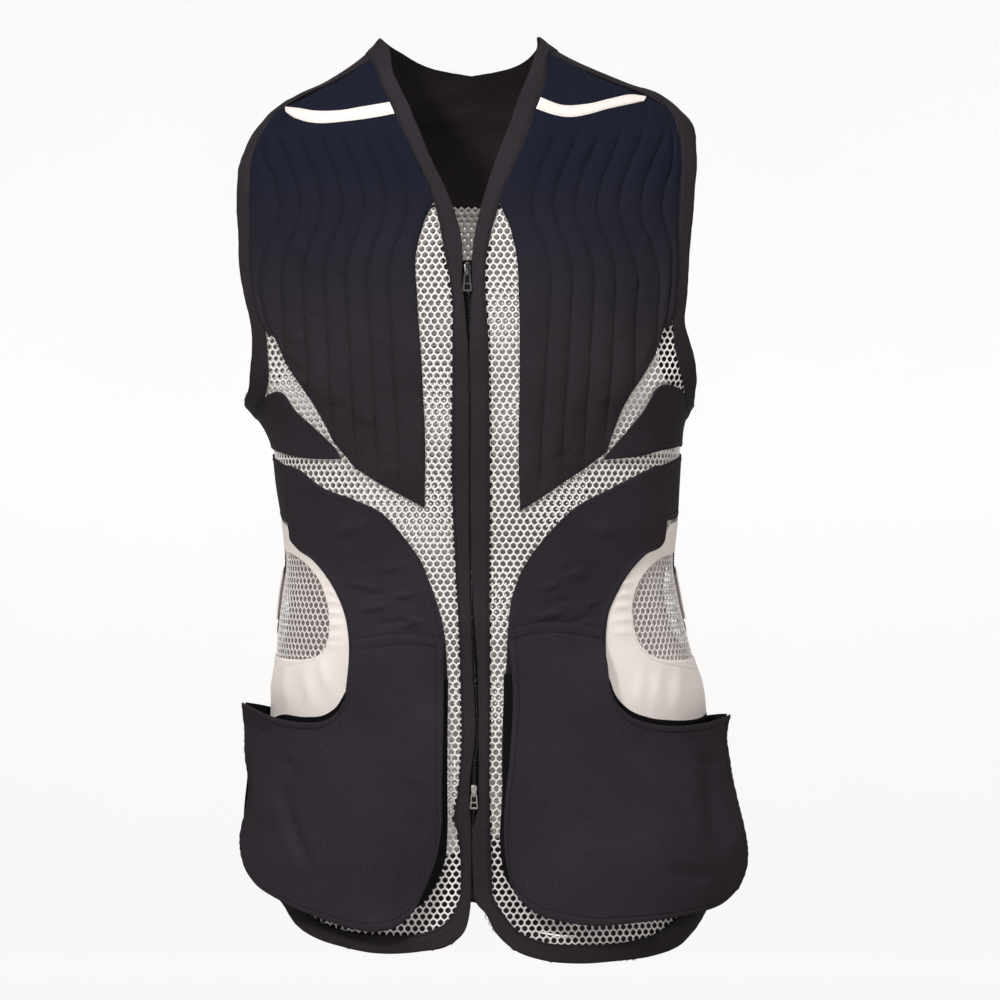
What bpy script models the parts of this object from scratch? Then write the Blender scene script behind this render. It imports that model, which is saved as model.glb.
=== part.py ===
"""Shooting vest in its worn, hollow shape, at real size.

Open net carries black and pale twill pieces, a quilted pad on each side of the chest, bellows pockets
and a two-way zip. Every cloth piece is a thin wall that follows one body form.

Axes: +Z up, the front faces -Y. Left and right are as seen from the front, so left is -X. The origin is
midway between the shoulders, a little below the neck points, on the zip's plane.
Tables hold millimetres and degrees. "down" is the depth below the origin, "out" the distance from the
zip's plane as seen from the front, and "turn" the angle round the body from the front centre.
"""
import math

import bpy
import numpy as np
from mathutils import Matrix

MM = 0.001
SIDES = {"left": -1, "right": 1}

# Layers of cloth, as distances out from the body form: the net, what lies on it, and what lies on that
TAPE = (-1.6, -0.6)
NET = (0.0, 1.0)
TWILL = (1.7, 2.9)
BAND = (1.7, 3.5)
UPPER = (3.4, 4.4)
QUILT_RISE = 1.7
SEAM = 1.0

# The body form: half widths seen from the front, depths to the front and back, and how square a ring is
FORM = {
    "down": (-37, -20, 5, 15, 29, 37, 56, 80, 120, 200, 232, 248, 260, 272, 289, 302,
             335, 363, 397, 426, 461, 486, 515, 570, 640, 720),
    "left": (69, 84, 120, 142, 162, 171, 190, 204, 211, 211, 206, 200, 191, 179, 167, 162,
             158, 153.5, 150.5, 154, 158, 159.5, 162, 165, 166, 166),
    "right": (50, 72, 127, 154, 172, 180, 192, 203, 210, 209, 205, 199, 188, 178, 172.5, 171.5,
              169.5, 168, 165, 169, 177.5, 184, 191, 194, 196, 196),
    "front": (27, 40, 58, 64, 71, 76, 84, 94, 108, 124, 126, 127, 127, 127, 126, 125,
              122, 120, 118, 119, 121, 122, 124, 126, 128, 129),
    "back": (44, 60, 74, 79, 84, 88, 94, 101, 110, 118, 118, 117, 116, 115, 113, 111,
             107, 104, 102, 104, 108, 111, 114, 118, 121, 122),
    "square": (2.0, 2.0, 2.1, 2.1, 2.2, 2.2, 2.25, 2.3, 2.3, 2.3, 2.3, 2.3, 2.3, 2.3, 2.3, 2.3,
               2.3, 2.3, 2.3, 2.3, 2.3, 2.35, 2.35, 2.4, 2.4, 2.4),
}

# The form that the pocket fronts follow: flush at their top seam, standing off the body lower down
POCKET_FORM = {
    "down": (430, 458, 480, 511, 536, 560, 600, 640, 700),
    "left": (159, 162.5, 180, 195, 192, 192, 196, 197, 195),
    "right": (174.5, 182, 203, 219, 217, 221, 229, 233, 224),
    "front": (123.5, 125.5, 128, 132, 135, 138, 141, 143, 143),
    "back": (110, 110, 111, 113, 114, 116, 118, 120, 121),
    "square": (2.3, 2.3, 2.35, 2.35, 2.35, 2.4, 2.4, 2.4, 2.4),
}

# Free edge of the front and neck band, from the centre of the back over the shoulder and down the zip
NECK_FREE = {
    "left": ({"turn": (180, 150, 120, 93), "down": (-8, -14, -26, -33)},
             {"out": (61, 44, 34, 15, 7, 6, 6, 2, 1, -0.5, -2.6, -4.2, -0.2, -0.2, -1, -1),
              "down": (3, 41, 66, 108, 136, 150, 172, 190, 267, 426, 485, 538, 572, 592, 606, 660)}),
    "right": ({"turn": (180, 150, 120, 95), "down": (-8, -14, -26, -34)},
              {"out": (54, 44, 31, 9.5, 2, 1.5, 2, 1.5, 2, 6, 6.8, 6.8, 6.4, 3, 3),
               "down": (-22, 8, 45, 108, 146, 172, 190, 267, 426, 485, 538, 572, 592, 606, 660)}),
}
# Sewn edge of the same band
NECK_SEWN = {
    "left": ({"turn": (180, 150, 120, 92), "down": (9, 3, -11, -20)},
             {"out": (84, 66, 49, 27, 21, 15, 14, 14, 12, 8.5, 8, 8, 11, 13, 10, 7.5, 7.5),
              "down": (-16, 22, 63, 115, 146, 178, 227, 346, 392, 460, 477, 562, 588, 600, 612, 634, 660)}),
    "right": ({"turn": (180, 150, 120, 92), "down": (9, 3, -11, -21)},
              {"out": (65, 56, 43, 22, 14, 15, 16, 16, 16, 17, 18),
               "down": (-20, 22, 62, 114, 146, 227, 346, 498, 600, 630, 660)}),
}
HEM_FREE = {
    "left": ({"out": (-1, 0, 5, 17, 40, 72, 104, 122, 140), "down": (661, 675, 692, 702, 707, 709, 704, 699, 688)},
             {"turn": (64, 75, 85, 98), "down": (677, 662, 652, 648)}),
    "right": ({"out": (3, 5, 12, 20, 36, 58, 84, 115, 146, 168),
               "down": (661, 668, 676, 691, 706, 714, 717, 716, 713, 706)},
              {"turn": (70, 77, 86, 98), "down": (696, 681, 667, 659)}),
}
HEM_SEWN = {
    "left": ({"out": (7.5, 11, 21, 34, 71, 103, 122), "down": (661, 672, 685, 691, 694, 691, 684)},
             {"turn": (59, 71, 83, 98), "down": (672, 655, 643, 636)}),
    "right": ({"out": (18, 21, 27, 39, 57, 87, 123, 146), "down": (661, 668, 677, 691, 699, 702, 701, 696)},
              {"turn": (64, 74, 85, 98), "down": (684, 669, 654, 646)}),
}
# The back hem, from the left side seam to the right one
BACK_HEM = {
    "turn": (-98.4, -105, -112, -120, -130, -140, -150, -160, -170, -180, -190, -200, -212, -222, -232, -241, -249,
             -256, -261.6),
    "free": (648, 658, 674, 691, 705, 713, 715, 711, 701, 688, 701, 710, 715, 716, 714, 706, 693, 675, 659),
    "sewn": (636, 637.1, 638.8, 643.9, 654.6, 661, 661, 657, 649, 640, 634, 634, 646, 662.5, 657.4, 650.2, 646.9,
             646.4, 646),
}
# Armhole, starting on top of the shoulder and going round by the front
ARM_FREE = {
    "left": {"turn": (90, 79.8, 76.3, 72.5, 70.6, 68.3, 66, 67, 69.5, 77, 89, 98,
                      106, 111, 113, 113, 112, 109, 102),
             "down": (27, 58, 85, 125, 160, 183, 206, 235, 251, 262, 267, 268,
                      260, 238, 200, 150, 110, 75, 45)},
    "right": {"turn": (90, 86, 79.5, 72.4, 68.6, 66, 65, 68, 71.5, 78, 89, 98,
                       106, 111, 113, 113, 112, 109, 102),
              "down": (18, 38, 59, 98, 138, 183, 201, 227, 249, 262, 267, 268,
                       260, 238, 200, 150, 110, 75, 42)},
}
ARM_SEWN = {
    "left": {"turn": (90, 84, 76.8, 73.8, 69.8, 67, 65, 62, 61.8, 62.5, 66.5, 77, 89, 98,
                      110, 117, 119, 119, 118, 115, 105),
             "down": (18, 27, 52, 72, 112, 160, 183, 209, 229, 248, 262, 272, 278, 280,
                      270, 243, 200, 150, 110, 72, 40)},
    "right": {"turn": (90, 82, 77, 71.5, 66.5, 63.6, 61.8, 62.3, 65, 70, 78, 89, 98,
                       110, 117, 119, 119, 118, 115, 105),
              "down": (9, 22, 43, 72, 112, 161, 198, 220, 243, 258, 271, 278, 280,
                       270, 243, 200, 150, 110, 70, 36)},
}
# Rows of those tables at the side seam under the arm
ARM_UNDER = 11
ARM_SEWN_UNDER = 12
YOKE_FOOT = 112
# Shoulder seam, just in front of the top of the shoulder, from the neck band to the armhole band
SHOULDER_SEAM = {
    "left": {"turn": (75.5, 75, 76, 77, 83), "down": (-12, -1, 8, 18, 28), "out": (81, 99, 114, 131, 157)},
    "right": {"turn": (73, 72, 73, 75, 81), "down": (-18, -6, 3, 12, 23), "out": (63, 88, 105, 125, 148)},
}
# The chest pad: its edge along the centre strip, below where it leaves the neck band, and its lower edge
PAD_LEAVES_NECK = 106
PAD_INNER = {
    "left": {"out": (38, 43, 42, 38, 36, 36), "down": (127, 148, 186, 248, 286, 353)},
    "right": {"out": (32, 37, 39, 39, 40), "down": (128, 150, 186, 330, 355)},
}
PAD_LOWER = {
    "left": {"out": (36, 52, 83, 101, 107, 118, 126, 139, 151, 161),
             "down": (353, 344, 327, 313, 303, 280, 266, 251, 230, 214)},
    "right": {"out": (40, 55, 83, 105, 111, 118, 128, 140, 150, 159),
              "down": (355, 346, 326, 313, 304, 280, 260, 245, 225, 208)},
}
# Sewn lines of the pad: even steps across, leaning outwards above and below the break at the chest
QUILT_FIRST = 50
QUILT_STEP = 17.3
QUILT_LINES = 7
QUILT_LEAN = {"down": (44, 113, 162, 306), "more_out": (22, 0, 14, 6.5)}

STRIPE_UPPER = {
    "left": {"out": (68, 86, 104, 124, 139, 150), "down": (26, 29, 32, 32, 29, 27)},
    "right": {"out": (58.5, 74, 93, 113, 130, 142), "down": (22, 28, 27, 22, 18, 19)},
}
STRIPE_LOWER = {
    "left": {"out": (64, 82, 98, 126, 140, 149), "down": (36, 39, 41, 42, 38, 32)},
    "right": {"out": (54, 66, 80, 93, 113, 140), "down": (32, 36, 38, 36, 30, 23)},
}
# The strip under the armhole, from its point at the pad round to the side seam
STRIP_UPPER = {
    "left": {"out": (107, 116, 127, 140, 149), "down": (305, 296, 285, 272, 260)},
    "right": {"out": (111, 129, 141, 148), "down": (307, 286, 270, 256)},
}
STRIP_LOWER = {
    "left": ({"out": (104, 123, 140), "down": (313, 313.2, 311)},
             {"turn": (76, 83, 90, 97.6), "down": (306, 304, 303.5, 303.5)}),
    "right": ({"out": (108.5, 124, 140, 150), "down": (313.3, 312.4, 310, 307)},
              {"turn": (74, 82, 90, 97.6), "down": (304, 302, 302, 303)}),
}
# The lower front: its curved top edge from the waist seam to the centre strip, and its outer seam
LOWER_TOP = {
    "left": {"out": (146, 136, 116, 92, 70, 55, 39), "down": (318, 322, 337, 346, 357, 373, 395)},
    "right": {"out": (149, 133, 112, 83, 66, 52, 41), "down": (318, 326, 337, 353, 369, 386, 403)},
}
LOWER_INNER = {
    "left": {"out": (39, 29, 22, 18, 18, 19, 22), "down": (395, 421, 444, 483, 530, 585, 608)},
    "right": {"out": (41, 34, 30, 29, 27, 25.5, 27), "down": (403, 422, 452, 476, 503, 570, 600)},
}
LOWER_OUTER = {
    "left": ({"turn": (69, 71.8, 73.2, 72.4), "down": (319, 345, 362, 373)},
             {"out": (138, 124, 115, 104, 96, 93, 93, 93.5, 94),
              "down": (382, 392, 402, 419, 439, 458, 480, 540, 604)}),
    "right": ({"turn": (67, 69.8, 71.8, 71.6), "down": (319, 342, 358, 368)},
              {"out": (154, 138, 125, 114, 107, 105, 105, 105.5, 106),
               "down": (377, 388, 402, 420, 436, 449, 480, 540, 600)}),
}
# The pale side panel: top edge round to the back, front edge down to the hem, and back edge
PANEL_TOP = {"left": {"turn": (134, 112, 90, 76), "down": (355, 357, 361, 367)},
             "right": {"turn": (134, 112, 90, 75), "down": (355, 357, 361, 366)}}
PANEL_FRONT = {
    "left": {"out": (140, 126, 117, 106, 98, 95, 95, 96, 97), "down": (383, 393, 403, 420, 440, 459, 480, 560, 598)},
    "right": {"out": (156, 140, 127, 116, 109, 107, 107, 108, 109),
              "down": (378, 389, 403, 421, 437, 450, 480, 560, 604)},
}
PANEL_FOOT = {
    "left": {"turn": (50, 57, 64, 71, 83, 98, 115, 134), "down": (628, 650, 658, 653, 641.5, 634, 638, 656)},
    "right": {"turn": (52, 60, 68, 74, 85, 98, 115, 134), "down": (635, 664, 674, 667, 652.5, 644, 646, 660)},
}
WINDOW = {
    "left": {"turn": (86, 76, 66.3, 59.6, 55.1, 53, 51.6, 50.8, 50.8, 51.9, 54.4, 59.4, 66, 76, 87, 95, 100.5, 103, 103.8,
                      103.3, 101.5, 98, 93),
             "down": (387.5, 389.5, 394.4, 403.8, 415.2, 424.6, 434.7, 446.2, 457.6, 466.4, 472, 475.2, 475.8, 475,
                      473.5, 471.5, 466, 457, 446, 433, 418, 403, 391.5)},
    "right": {"turn": (90, 79, 68.5, 63.7, 60, 57.9, 56.6, 56.1, 56.1, 56.8, 58.4, 60.9, 64.5, 70.2, 79, 89, 97, 102,
                       104.5, 105.3, 105, 103.5, 100.5, 96),
              "down": (388.5, 390.5, 395.8, 403, 412.4, 421, 430.4, 441.2, 449.8, 459.2, 467.1, 472.9, 475.8, 477.2,
                       476.5, 475.5, 472.5, 465, 454, 441, 427, 413, 400, 392)},
}
WINDOW_MIDDLE = {"left": (86, 433), "right": (91, 433)}
WINDOW_SIZE = (33, 45)
WINDOW_ALLOWANCE = (2.2, 4)
# The waist piece between the branch of net and the pale panel
WAIST_TOP = {"left": {"turn": (69.5, 84, 98, 134), "down": (318, 310, 307, 312)},
             "right": {"turn": (67.5, 84, 98, 134), "down": (318, 310, 307, 312)}}
WAIST_FOOT = {"left": {"turn": (74.3, 90, 112, 134), "down": (365, 359.5, 355.5, 353.5)},
              "right": {"turn": (73.2, 90, 112, 134), "down": (363, 359.5, 355.5, 353.5)}}
NET_TOP = 96
NET_MARKS = (205, 262, 312, 392, 600)
HEM_CORNER = 661
# The nets meet at the side seam. Further down each of them ends under the pale panel
SIDE_SEAM = {"front": 97.9, "back": 98.5}
FRONT_NET_WAIST = {"turn": (97.9, 88, 79), "down": (316, 336, 359)}
FRONT_NET_FOOT = {"left": {"turn": (39, 48.5, 56, 62, 66), "down": (598, 630, 652.5, 661, 671)},
                  "right": {"turn": (42, 50.5, 59, 66, 71), "down": (604, 638, 667, 677, 688)}}
BACK_NET_WAIST = {"turn": (98.5, 110, 122, 134.5), "down": (314, 327, 341, 358)}
BACK_NET_FOOT = {"turn": (134.5, 134.5), "down": (500, 706)}

POCKET_OPENING = {
    "left": {"out": (185, 180, 166, 146, 129, 116, 106, 99),
             "down": (511, 513, 519, 524, 525, 523, 516, 504)},
    "right": {"out": (211, 187, 161, 142, 126, 116, 111),
              "down": (521, 527, 528, 525, 518, 507, 493)},
}
POCKET_SEAM = {
    "left": {"out": (94, 78, 54, 35, 21), "down": (459, 456, 454, 455, 459)},
    "right": {"out": (106, 87, 68, 48, 30), "down": (450, 446, 444, 446, 452)},
}
POCKET_INNER = {
    "left": {"out": (21, 21, 22, 22.5, 27, 35), "down": (459, 524, 575, 609, 633, 655)},
    "right": {"out": (30, 34, 31, 28, 28, 32), "down": (452, 498, 559, 585, 628, 651)},
}
POCKET_FOOT = {
    "left": {"out": (35, 45, 58, 71, 96, 116, 136, 157, 171, 180),
             "down": (655, 674, 686, 690, 688, 682, 675, 666, 658, 648)},
    "right": {"out": (32, 41, 56, 78, 99, 123, 146, 178, 202, 217),
              "down": (651, 666, 677, 683, 686, 685, 683, 679, 673, 661)},
}
POCKET_OUTER = {
    "left": {"out": (185, 183, 183, 186, 187, 185, 180), "down": (511, 536, 556, 600, 621, 636, 648)},
    "right": {"out": (211, 208, 214, 220, 225, 224, 217), "down": (521, 542, 580, 606, 632, 645, 661)},
}
GUSSET_START = 32
# Where the gusset is sewn to the body, from the top of the inner side round to the opening
GUSSET_SEAM = {
    "left": ({"out": (17, 17.5, 18, 22, 31, 43, 60, 75, 96, 116, 134),
              "down": (490, 575, 610, 634, 655, 671, 680, 682, 680, 674, 666)},
             {"turn": (68, 78, 85, 88, 89, 89), "down": (654, 642, 625, 600, 560, 517)}),
    "right": ({"out": (26.5, 26, 25, 24, 28, 38, 56, 78, 99, 123, 146),
               "down": (486, 545, 585, 626, 648, 662, 672, 677, 679, 678, 675)},
              {"turn": (66, 76, 84, 88, 89, 89), "down": (668, 655, 635, 606, 566, 524)}),
}

# The zip: its centre line wanders a little as worn
ZIP_LINE = {"down": (150, 172, 190, 267, 426, 538, 560, 592, 610, 650),
            "x": (-2.2, -2.2, 0, 0, 1.2, 5.7, 3.2, 3.2, 2, 2)}
ZIP_ENDS = (154, 656)
TAPE_WIDE = 11
SLIDERS = {
    "top": {"x": -2.2, "down": 163, "half_wide": 2.9, "scale": 1.0},
    "bottom": {"x": 3.2, "down": 579, "half_wide": 2.5, "scale": 0.8},
}
SLIDER_LIFT = (-0.1, 3.3)
BRIDGE = {"low": -6.0, "high": 1.2, "wall": 0.9, "top": 6.9, "wide": 1.3}
# The tab's axis: above the bridge's lower end, and out of the cloth
TAB_AXIS = (1.8, 4.6)
TAB_THICK = 1.0
# The pull tab, row by row from its hinge bar: depth below the axis, half width, and half width of the gap
PULL_TAB = {
    "below": (-0.5, 0.5, 6.8, 8.2, 12.2, 14.0),
    "half": (2.4, 2.6, 3.2, 3.5, 3.9, 3.7),
    "gap": (1.4, 1.4, 1.5, 1.8, 2.1, 2.1),
}
PULL_TAB_GAPS = (1, 3)

ADJUSTER_TURN = 98
ADJUSTER_WIDE = 13
ADJUSTER_GIRTH = 2.2  # cloth along one degree of turn there
ADJUSTER_TAPE = (376, 408)
ADJUSTER_TAB = (402, 446)
ADJUSTER_RING = {"down": 451, "radius": 7.5, "wire": 1.1, "lift": 2.6}

FINISHES = {
    "white net": ((0.92, 0.90, 0.87), 0.75, 0.0),
    "black twill": ((0.026, 0.023, 0.026), 0.85, 0.0),
    "quilted twill": ((0.018, 0.020, 0.028), 0.80, 0.0),
    "pale twill": ((0.80, 0.74, 0.70), 0.85, 0.0),
    "black binding": ((0.018, 0.016, 0.018), 0.70, 0.0),
    "black coil": ((0.012, 0.012, 0.012), 0.45, 0.0),
    "black enamel": ((0.010, 0.010, 0.012), 0.25, 0.4),
    "grey metal": ((0.45, 0.42, 0.38), 0.35, 0.9),
    "dark plastic": ((0.020, 0.020, 0.022), 0.30, 0.0),
}
NEAR_TURN = 0.2
NEAR_DOWN = 1.0


def leans(knots, values, tame):
    """Slope of a smooth curve at each knot; a tame curve never overshoots its values."""
    step = np.diff(knots)
    slope = np.diff(values) / step
    lean = np.empty(len(knots))
    lean[0], lean[-1] = slope[0], slope[-1]
    before, after = slope[:-1], slope[1:]
    if tame:
        same = before * after > 0
        whole = np.where(same, before + after, 1)
        lean[1:-1] = np.where(same, 2 * before * after / whole, 0)
    else:
        lean[1:-1] = (before * step[1:] + after * step[:-1]) / (step[1:] + step[:-1])
    return lean


def smooth(knots, values, at, tame=True):
    """Cubic through the values at the knots, read at any places."""
    knots, values = np.asarray(knots, float), np.asarray(values, float)
    lean = leans(knots, values, tame)
    at = np.clip(at, knots[0], knots[-1])
    i = np.clip(np.searchsorted(knots, at, side="right") - 1, 0, len(knots) - 2)
    step = knots[i + 1] - knots[i]
    t = (at - knots[i]) / step
    ends = values[i] * (1 + 2 * t) * (1 - t) ** 2 + values[i + 1] * t * t * (3 - 2 * t)
    return ends + step * (lean[i] * t * (1 - t) ** 2 - lean[i + 1] * t * t * (1 - t))


def column(form, name, down):
    return smooth(form["down"], form[name], down)


def ring_point(form, turn, down):
    """Point of the form: a superellipse ring at each height, with its own half width, front and back."""
    turn, down = np.broadcast_arrays(np.asarray(turn, float), np.asarray(down, float))
    angle = np.radians(turn)
    s, c = np.sin(angle), np.cos(angle)
    half = np.where(s < 0, column(form, "left", down), column(form, "right", down))
    deep = np.where(c > 0, column(form, "front", down), column(form, "back", down))
    power = column(form, "square", down)
    reach = (np.abs(s / half) ** power + np.abs(c / deep) ** power) ** (-1 / power)
    return np.stack([reach * s, -reach * c, -down], axis=-1)


def along_and_across(turn, down, form=FORM):
    """How a point of the form moves with a millimetre of depth and with a degree of turn."""
    across = ring_point(form, turn + NEAR_TURN, down) - ring_point(form, turn - NEAR_TURN, down)
    along = ring_point(form, turn, down + NEAR_DOWN) - ring_point(form, turn, down - NEAR_DOWN)
    return along / (2 * NEAR_DOWN), across / (2 * NEAR_TURN)


def lifted(form, grid, lift):
    """Points of the form at (turn, down), moved out along its normal."""
    turn, down = grid[..., 0], grid[..., 1]
    normal = np.cross(*along_and_across(turn, down, form))
    normal /= np.linalg.norm(normal, axis=-1, keepdims=True)
    return ring_point(form, turn, down) + normal * np.asarray(lift, float)[..., None]


def seen(form, side, out, down):
    """Turn of the point of the front that is seen at that distance from the zip's plane."""
    out, down = np.asarray(out, float), np.asarray(down, float)
    half, deep = column(form, side, down), column(form, "front", down)
    power = column(form, "square", down)
    share = np.clip(np.abs(out) / half, 0, 1)
    depth = deep * (1 - share ** power) ** (1 / power)
    return np.degrees(np.arctan2(out, depth))


def rows_of(form, side, stretches):
    """Control points (turn, down) of a line whose stretches are given by turn or as seen from the front."""
    if isinstance(stretches, dict):
        stretches = (stretches,)
    rows = []
    for stretch in stretches:
        down = np.array(stretch["down"], float)
        turn = stretch["turn"] if "turn" in stretch else seen(form, side, stretch["out"], down)
        rows.append(np.stack([np.asarray(turn, float), down], axis=1))
    return np.concatenate(rows)


def lengths(line, form=FORM):
    """Length on the form up to each point of a line."""
    step = np.linalg.norm(np.diff(ring_point(form, line[:, 0], line[:, 1]), axis=0), axis=1)
    return np.concatenate([[0], np.cumsum(step)])


def beside(side, line, gap):
    """The line moved aside in the cloth: one that runs down moves away from the zip."""
    turn, down = line[:, 0] * SIDES[side], line[:, 1]
    along, across = along_and_across(turn, down)
    ahead = np.gradient(ring_point(FORM, turn, down), axis=0)
    aside = np.cross(np.cross(along, across), ahead) * SIDES[side]
    aside *= gap / np.linalg.norm(aside, axis=1, keepdims=True)
    basis = np.stack([across * SIDES[side], along], axis=-1)
    flipped = np.swapaxes(basis, 1, 2)
    return line + np.linalg.solve(flipped @ basis, (flipped @ aside[..., None]))[..., 0]


def at_shares(line, shares):
    """Points of a line at shares of its length."""
    along = lengths(line)
    at = np.asarray(shares) * along[-1]
    return np.stack([np.interp(at, along, line[:, k]) for k in (0, 1)], axis=1)


def drawn(rows):
    """A smooth line through the rows, with close points."""
    rows = np.asarray(rows, float)
    knots = lengths(rows)
    fine = np.linspace(0, knots[-1], 24 * len(rows))
    return np.stack([smooth(knots, rows[:, k], fine, tame=False) for k in (0, 1)], axis=1)


def loop(rows, first=0, last=None):
    """Part of a smooth closed line through the rows, from one row on to another."""
    lap = len(rows)
    last = first + lap if last is None else last
    rounds = np.concatenate([rows, rows, rows])
    knots = lengths(rounds)
    fine = np.linspace(knots[lap + first], knots[lap + last], 24 * (last - first))
    return np.stack([smooth(knots, rounds[:, k], fine, tame=False) for k in (0, 1)], axis=1)


def line_of(side, stretches, form=FORM):
    return drawn(rows_of(form, side, stretches))


def joined(*lines):
    """One line from several, without the points that repeat where they meet."""
    line = np.concatenate(lines)
    apart = np.abs(np.diff(line, axis=0)).max(axis=1) > 1e-6
    return line[np.concatenate([[True], apart])]


def even(count):
    return np.linspace(0, 1, count)


def with_more(count, start, stop, extra):
    """Even shares with more of them in one stretch."""
    return np.unique(np.round(np.concatenate([even(count), np.linspace(start, stop, extra)]), 4))


def patch(top, foot, inner, outer, foot_pull=1):
    """Grid between four rows of points that meet at their ends. Its rows run from inner to outer."""
    u = (lengths(top) / lengths(top)[-1])[None, :, None]
    v = (lengths(inner) / lengths(inner)[-1])[:, None, None]
    bow = [line - (1 - u[0]) * line[:1] - u[0] * line[-1:] for line in (top, foot)]
    return (1 - u) * inner[:, None] + u * outer[:, None] + (1 - v) * bow[0][None] + v ** foot_pull * bow[1][None]


def in_steps(lines, counts):
    """Points along joined lines, each line with its own number of steps."""
    return joined(*(at_shares(line, even(count + 1)) for line, count in zip(lines, counts)))


def cut(line, downs):
    """A falling line cut into pieces at some depths."""
    at = [0, *(int(np.argmax(line[:, 1] > down)) for down in downs), len(line) - 1]
    return [line[a:b + 1] for a, b in zip(at, at[1:])]


def strip(inner, outer, rows, across=2):
    """Grid between two lines, matched by shares of their lengths."""
    u = np.linspace(0, 1, across)[None, :, None]
    return (1 - u) * at_shares(inner, rows)[:, None] + u * at_shares(outer, rows)[:, None]


def material(name):
    made = bpy.data.materials.get(name)
    if made is None:
        colour, roughness, metallic = FINISHES[name]
        made = bpy.data.materials.new(name)
        made.use_nodes = True
        shader = made.node_tree.nodes["Principled BSDF"]
        shader.inputs["Base Color"].default_value = (*colour, 1)
        shader.inputs["Roughness"].default_value = roughness
        shader.inputs["Metallic"].default_value = metallic
    return made


def piece(name, points, faces, finish, sharp=40):
    """An object from points in millimetres, its faces turned outwards by its signed volume."""
    points = np.asarray(points, float)
    faces = [tuple(int(i) for i in face) for face in faces]
    fans = [(f[0], f[i], f[i + 1]) for f in faces for i in range(1, len(f) - 1)]
    a, b, c = (points[[fan[k] for fan in fans]] for k in range(3))
    if (a * np.cross(b, c)).sum() < 0:
        faces = [face[::-1] for face in faces]
    mesh = bpy.data.meshes.new(name)
    mesh.from_pydata((points * MM).tolist(), [], faces)
    mesh.validate()
    mesh.shade_smooth()
    mesh.set_sharp_from_angle(angle=math.radians(sharp))
    mesh.materials.append(material(finish))
    made = bpy.data.objects.new(name, mesh)
    bpy.context.collection.objects.link(made)
    return made


def wall(name, low, high, finish, closed=False):
    """A closed wall between two grids of points. A closed one joins its last row to its first."""
    rows, across = high.shape[:2]
    index = np.arange(rows * across).reshape(rows, across)
    if closed:
        index = np.concatenate([index, index[:1]])
    below = index + rows * across
    a, b, c, d = index[:-1, :-1], index[:-1, 1:], index[1:, 1:], index[1:, :-1]
    flat = high.reshape(-1, 3)
    short = np.linalg.norm(flat[a] - flat[c], axis=-1) <= np.linalg.norm(flat[b] - flat[d], axis=-1)
    faces = []
    for layer, turned in ((0, False), (rows * across, True)):
        for p, q, r, s, cut in zip(a.ravel(), b.ravel(), c.ravel(), d.ravel(), short.ravel()):
            pair = ((p, q, r), (p, r, s)) if cut else ((p, q, s), (q, r, s))
            faces += [tuple(i + layer for i in (f[::-1] if turned else f)) for f in pair]
    rims = [(index[:, 0], below[:, 0]), (below[:, -1], index[:, -1])]
    if not closed:
        rims += [(below[0], index[0]), (index[-1], below[-1])]
    for one, other in rims:
        faces += [(one[i], one[i + 1], other[i + 1], other[i]) for i in range(len(one) - 1)]
    return piece(name, np.concatenate([flat, low.reshape(-1, 3)]), faces, finish)


def cloth(name, side, grid, layer, finish, closed=False, form=FORM, rise=0.0):
    """A wall of cloth on the form; rise moves its outer points out."""
    signed = grid * (SIDES.get(side, 1), 1)
    return wall(name, lifted(form, signed, layer[0] + 0 * grid[..., 0]),
                lifted(form, signed, layer[1] + rise + 0 * grid[..., 0]), finish, closed)


def arm_line(side, table, first, last, gap):
    """Part of an edge of the armhole band, moved into the cloth beside it."""
    return beside(side, loop(rows_of(FORM, side, table[side]), first, last), -gap)


def neck_side(side, gap):
    """The neck band's sewn edge, moved into the cloth, split where the shoulder seam meets it."""
    line = beside(side, line_of(side, NECK_SEWN[side]), gap)
    corner = int(np.argmax(line[:, 0] < SHOULDER_SEAM[side]["turn"][0]))
    return line[:corner + 1], line[corner:]


def front_net(side):
    """The net that the front hangs on, from under the pad to the hem, reaching in under the bands."""
    arm = arm_line(side, ARM_FREE, 2, ARM_UNDER, 1.5)
    arm = arm[(arm[:, 1] > NET_TOP) & (arm[:, 0] < SIDE_SEAM["front"])]
    lowest = int(np.argmin(arm[:, 0]))
    inner = beside(side, line_of(side, NECK_FREE[side]), 4.5)
    inner = inner[(inner[:, 0] < 60) & (inner[:, 1] > NET_TOP - 4) & (inner[:, 1] < HEM_CORNER - 3)]
    boundary = beside(side, rows_of(FORM, side, LOWER_OUTER[side][1]), -3)[:-1]
    corner = np.array([[SIDE_SEAM["front"], FRONT_NET_WAIST["down"][0]]])
    waist = drawn(np.concatenate([rows_of(FORM, side, FRONT_NET_WAIST), boundary[:1]]))
    fall = drawn(np.concatenate([boundary, rows_of(FORM, side, FRONT_NET_FOOT[side])[:1]]))
    flare = drawn(rows_of(FORM, side, FRONT_NET_FOOT[side]))
    steps = (3, 4, 4, 5, 6, 4)
    outer = in_steps([arm[:lowest + 1], arm[lowest:], joined(arm[-1:], corner), waist, fall, flare], steps)
    inner = in_steps(cut(inner, NET_MARKS), steps)
    hem = drawn(rows_of(FORM, side, HEM_FREE[side][0])[2:] + (0, -2))
    across = even(10)
    foot = at_shares(joined(inner[-1:], hem, outer[-1:]), across)
    grid = patch(at_shares(np.stack([inner[0], outer[0]]), across), foot, inner, outer, foot_pull=5)
    cloth(f"front_net_{side}", side, grid, NET, "white net")


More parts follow.
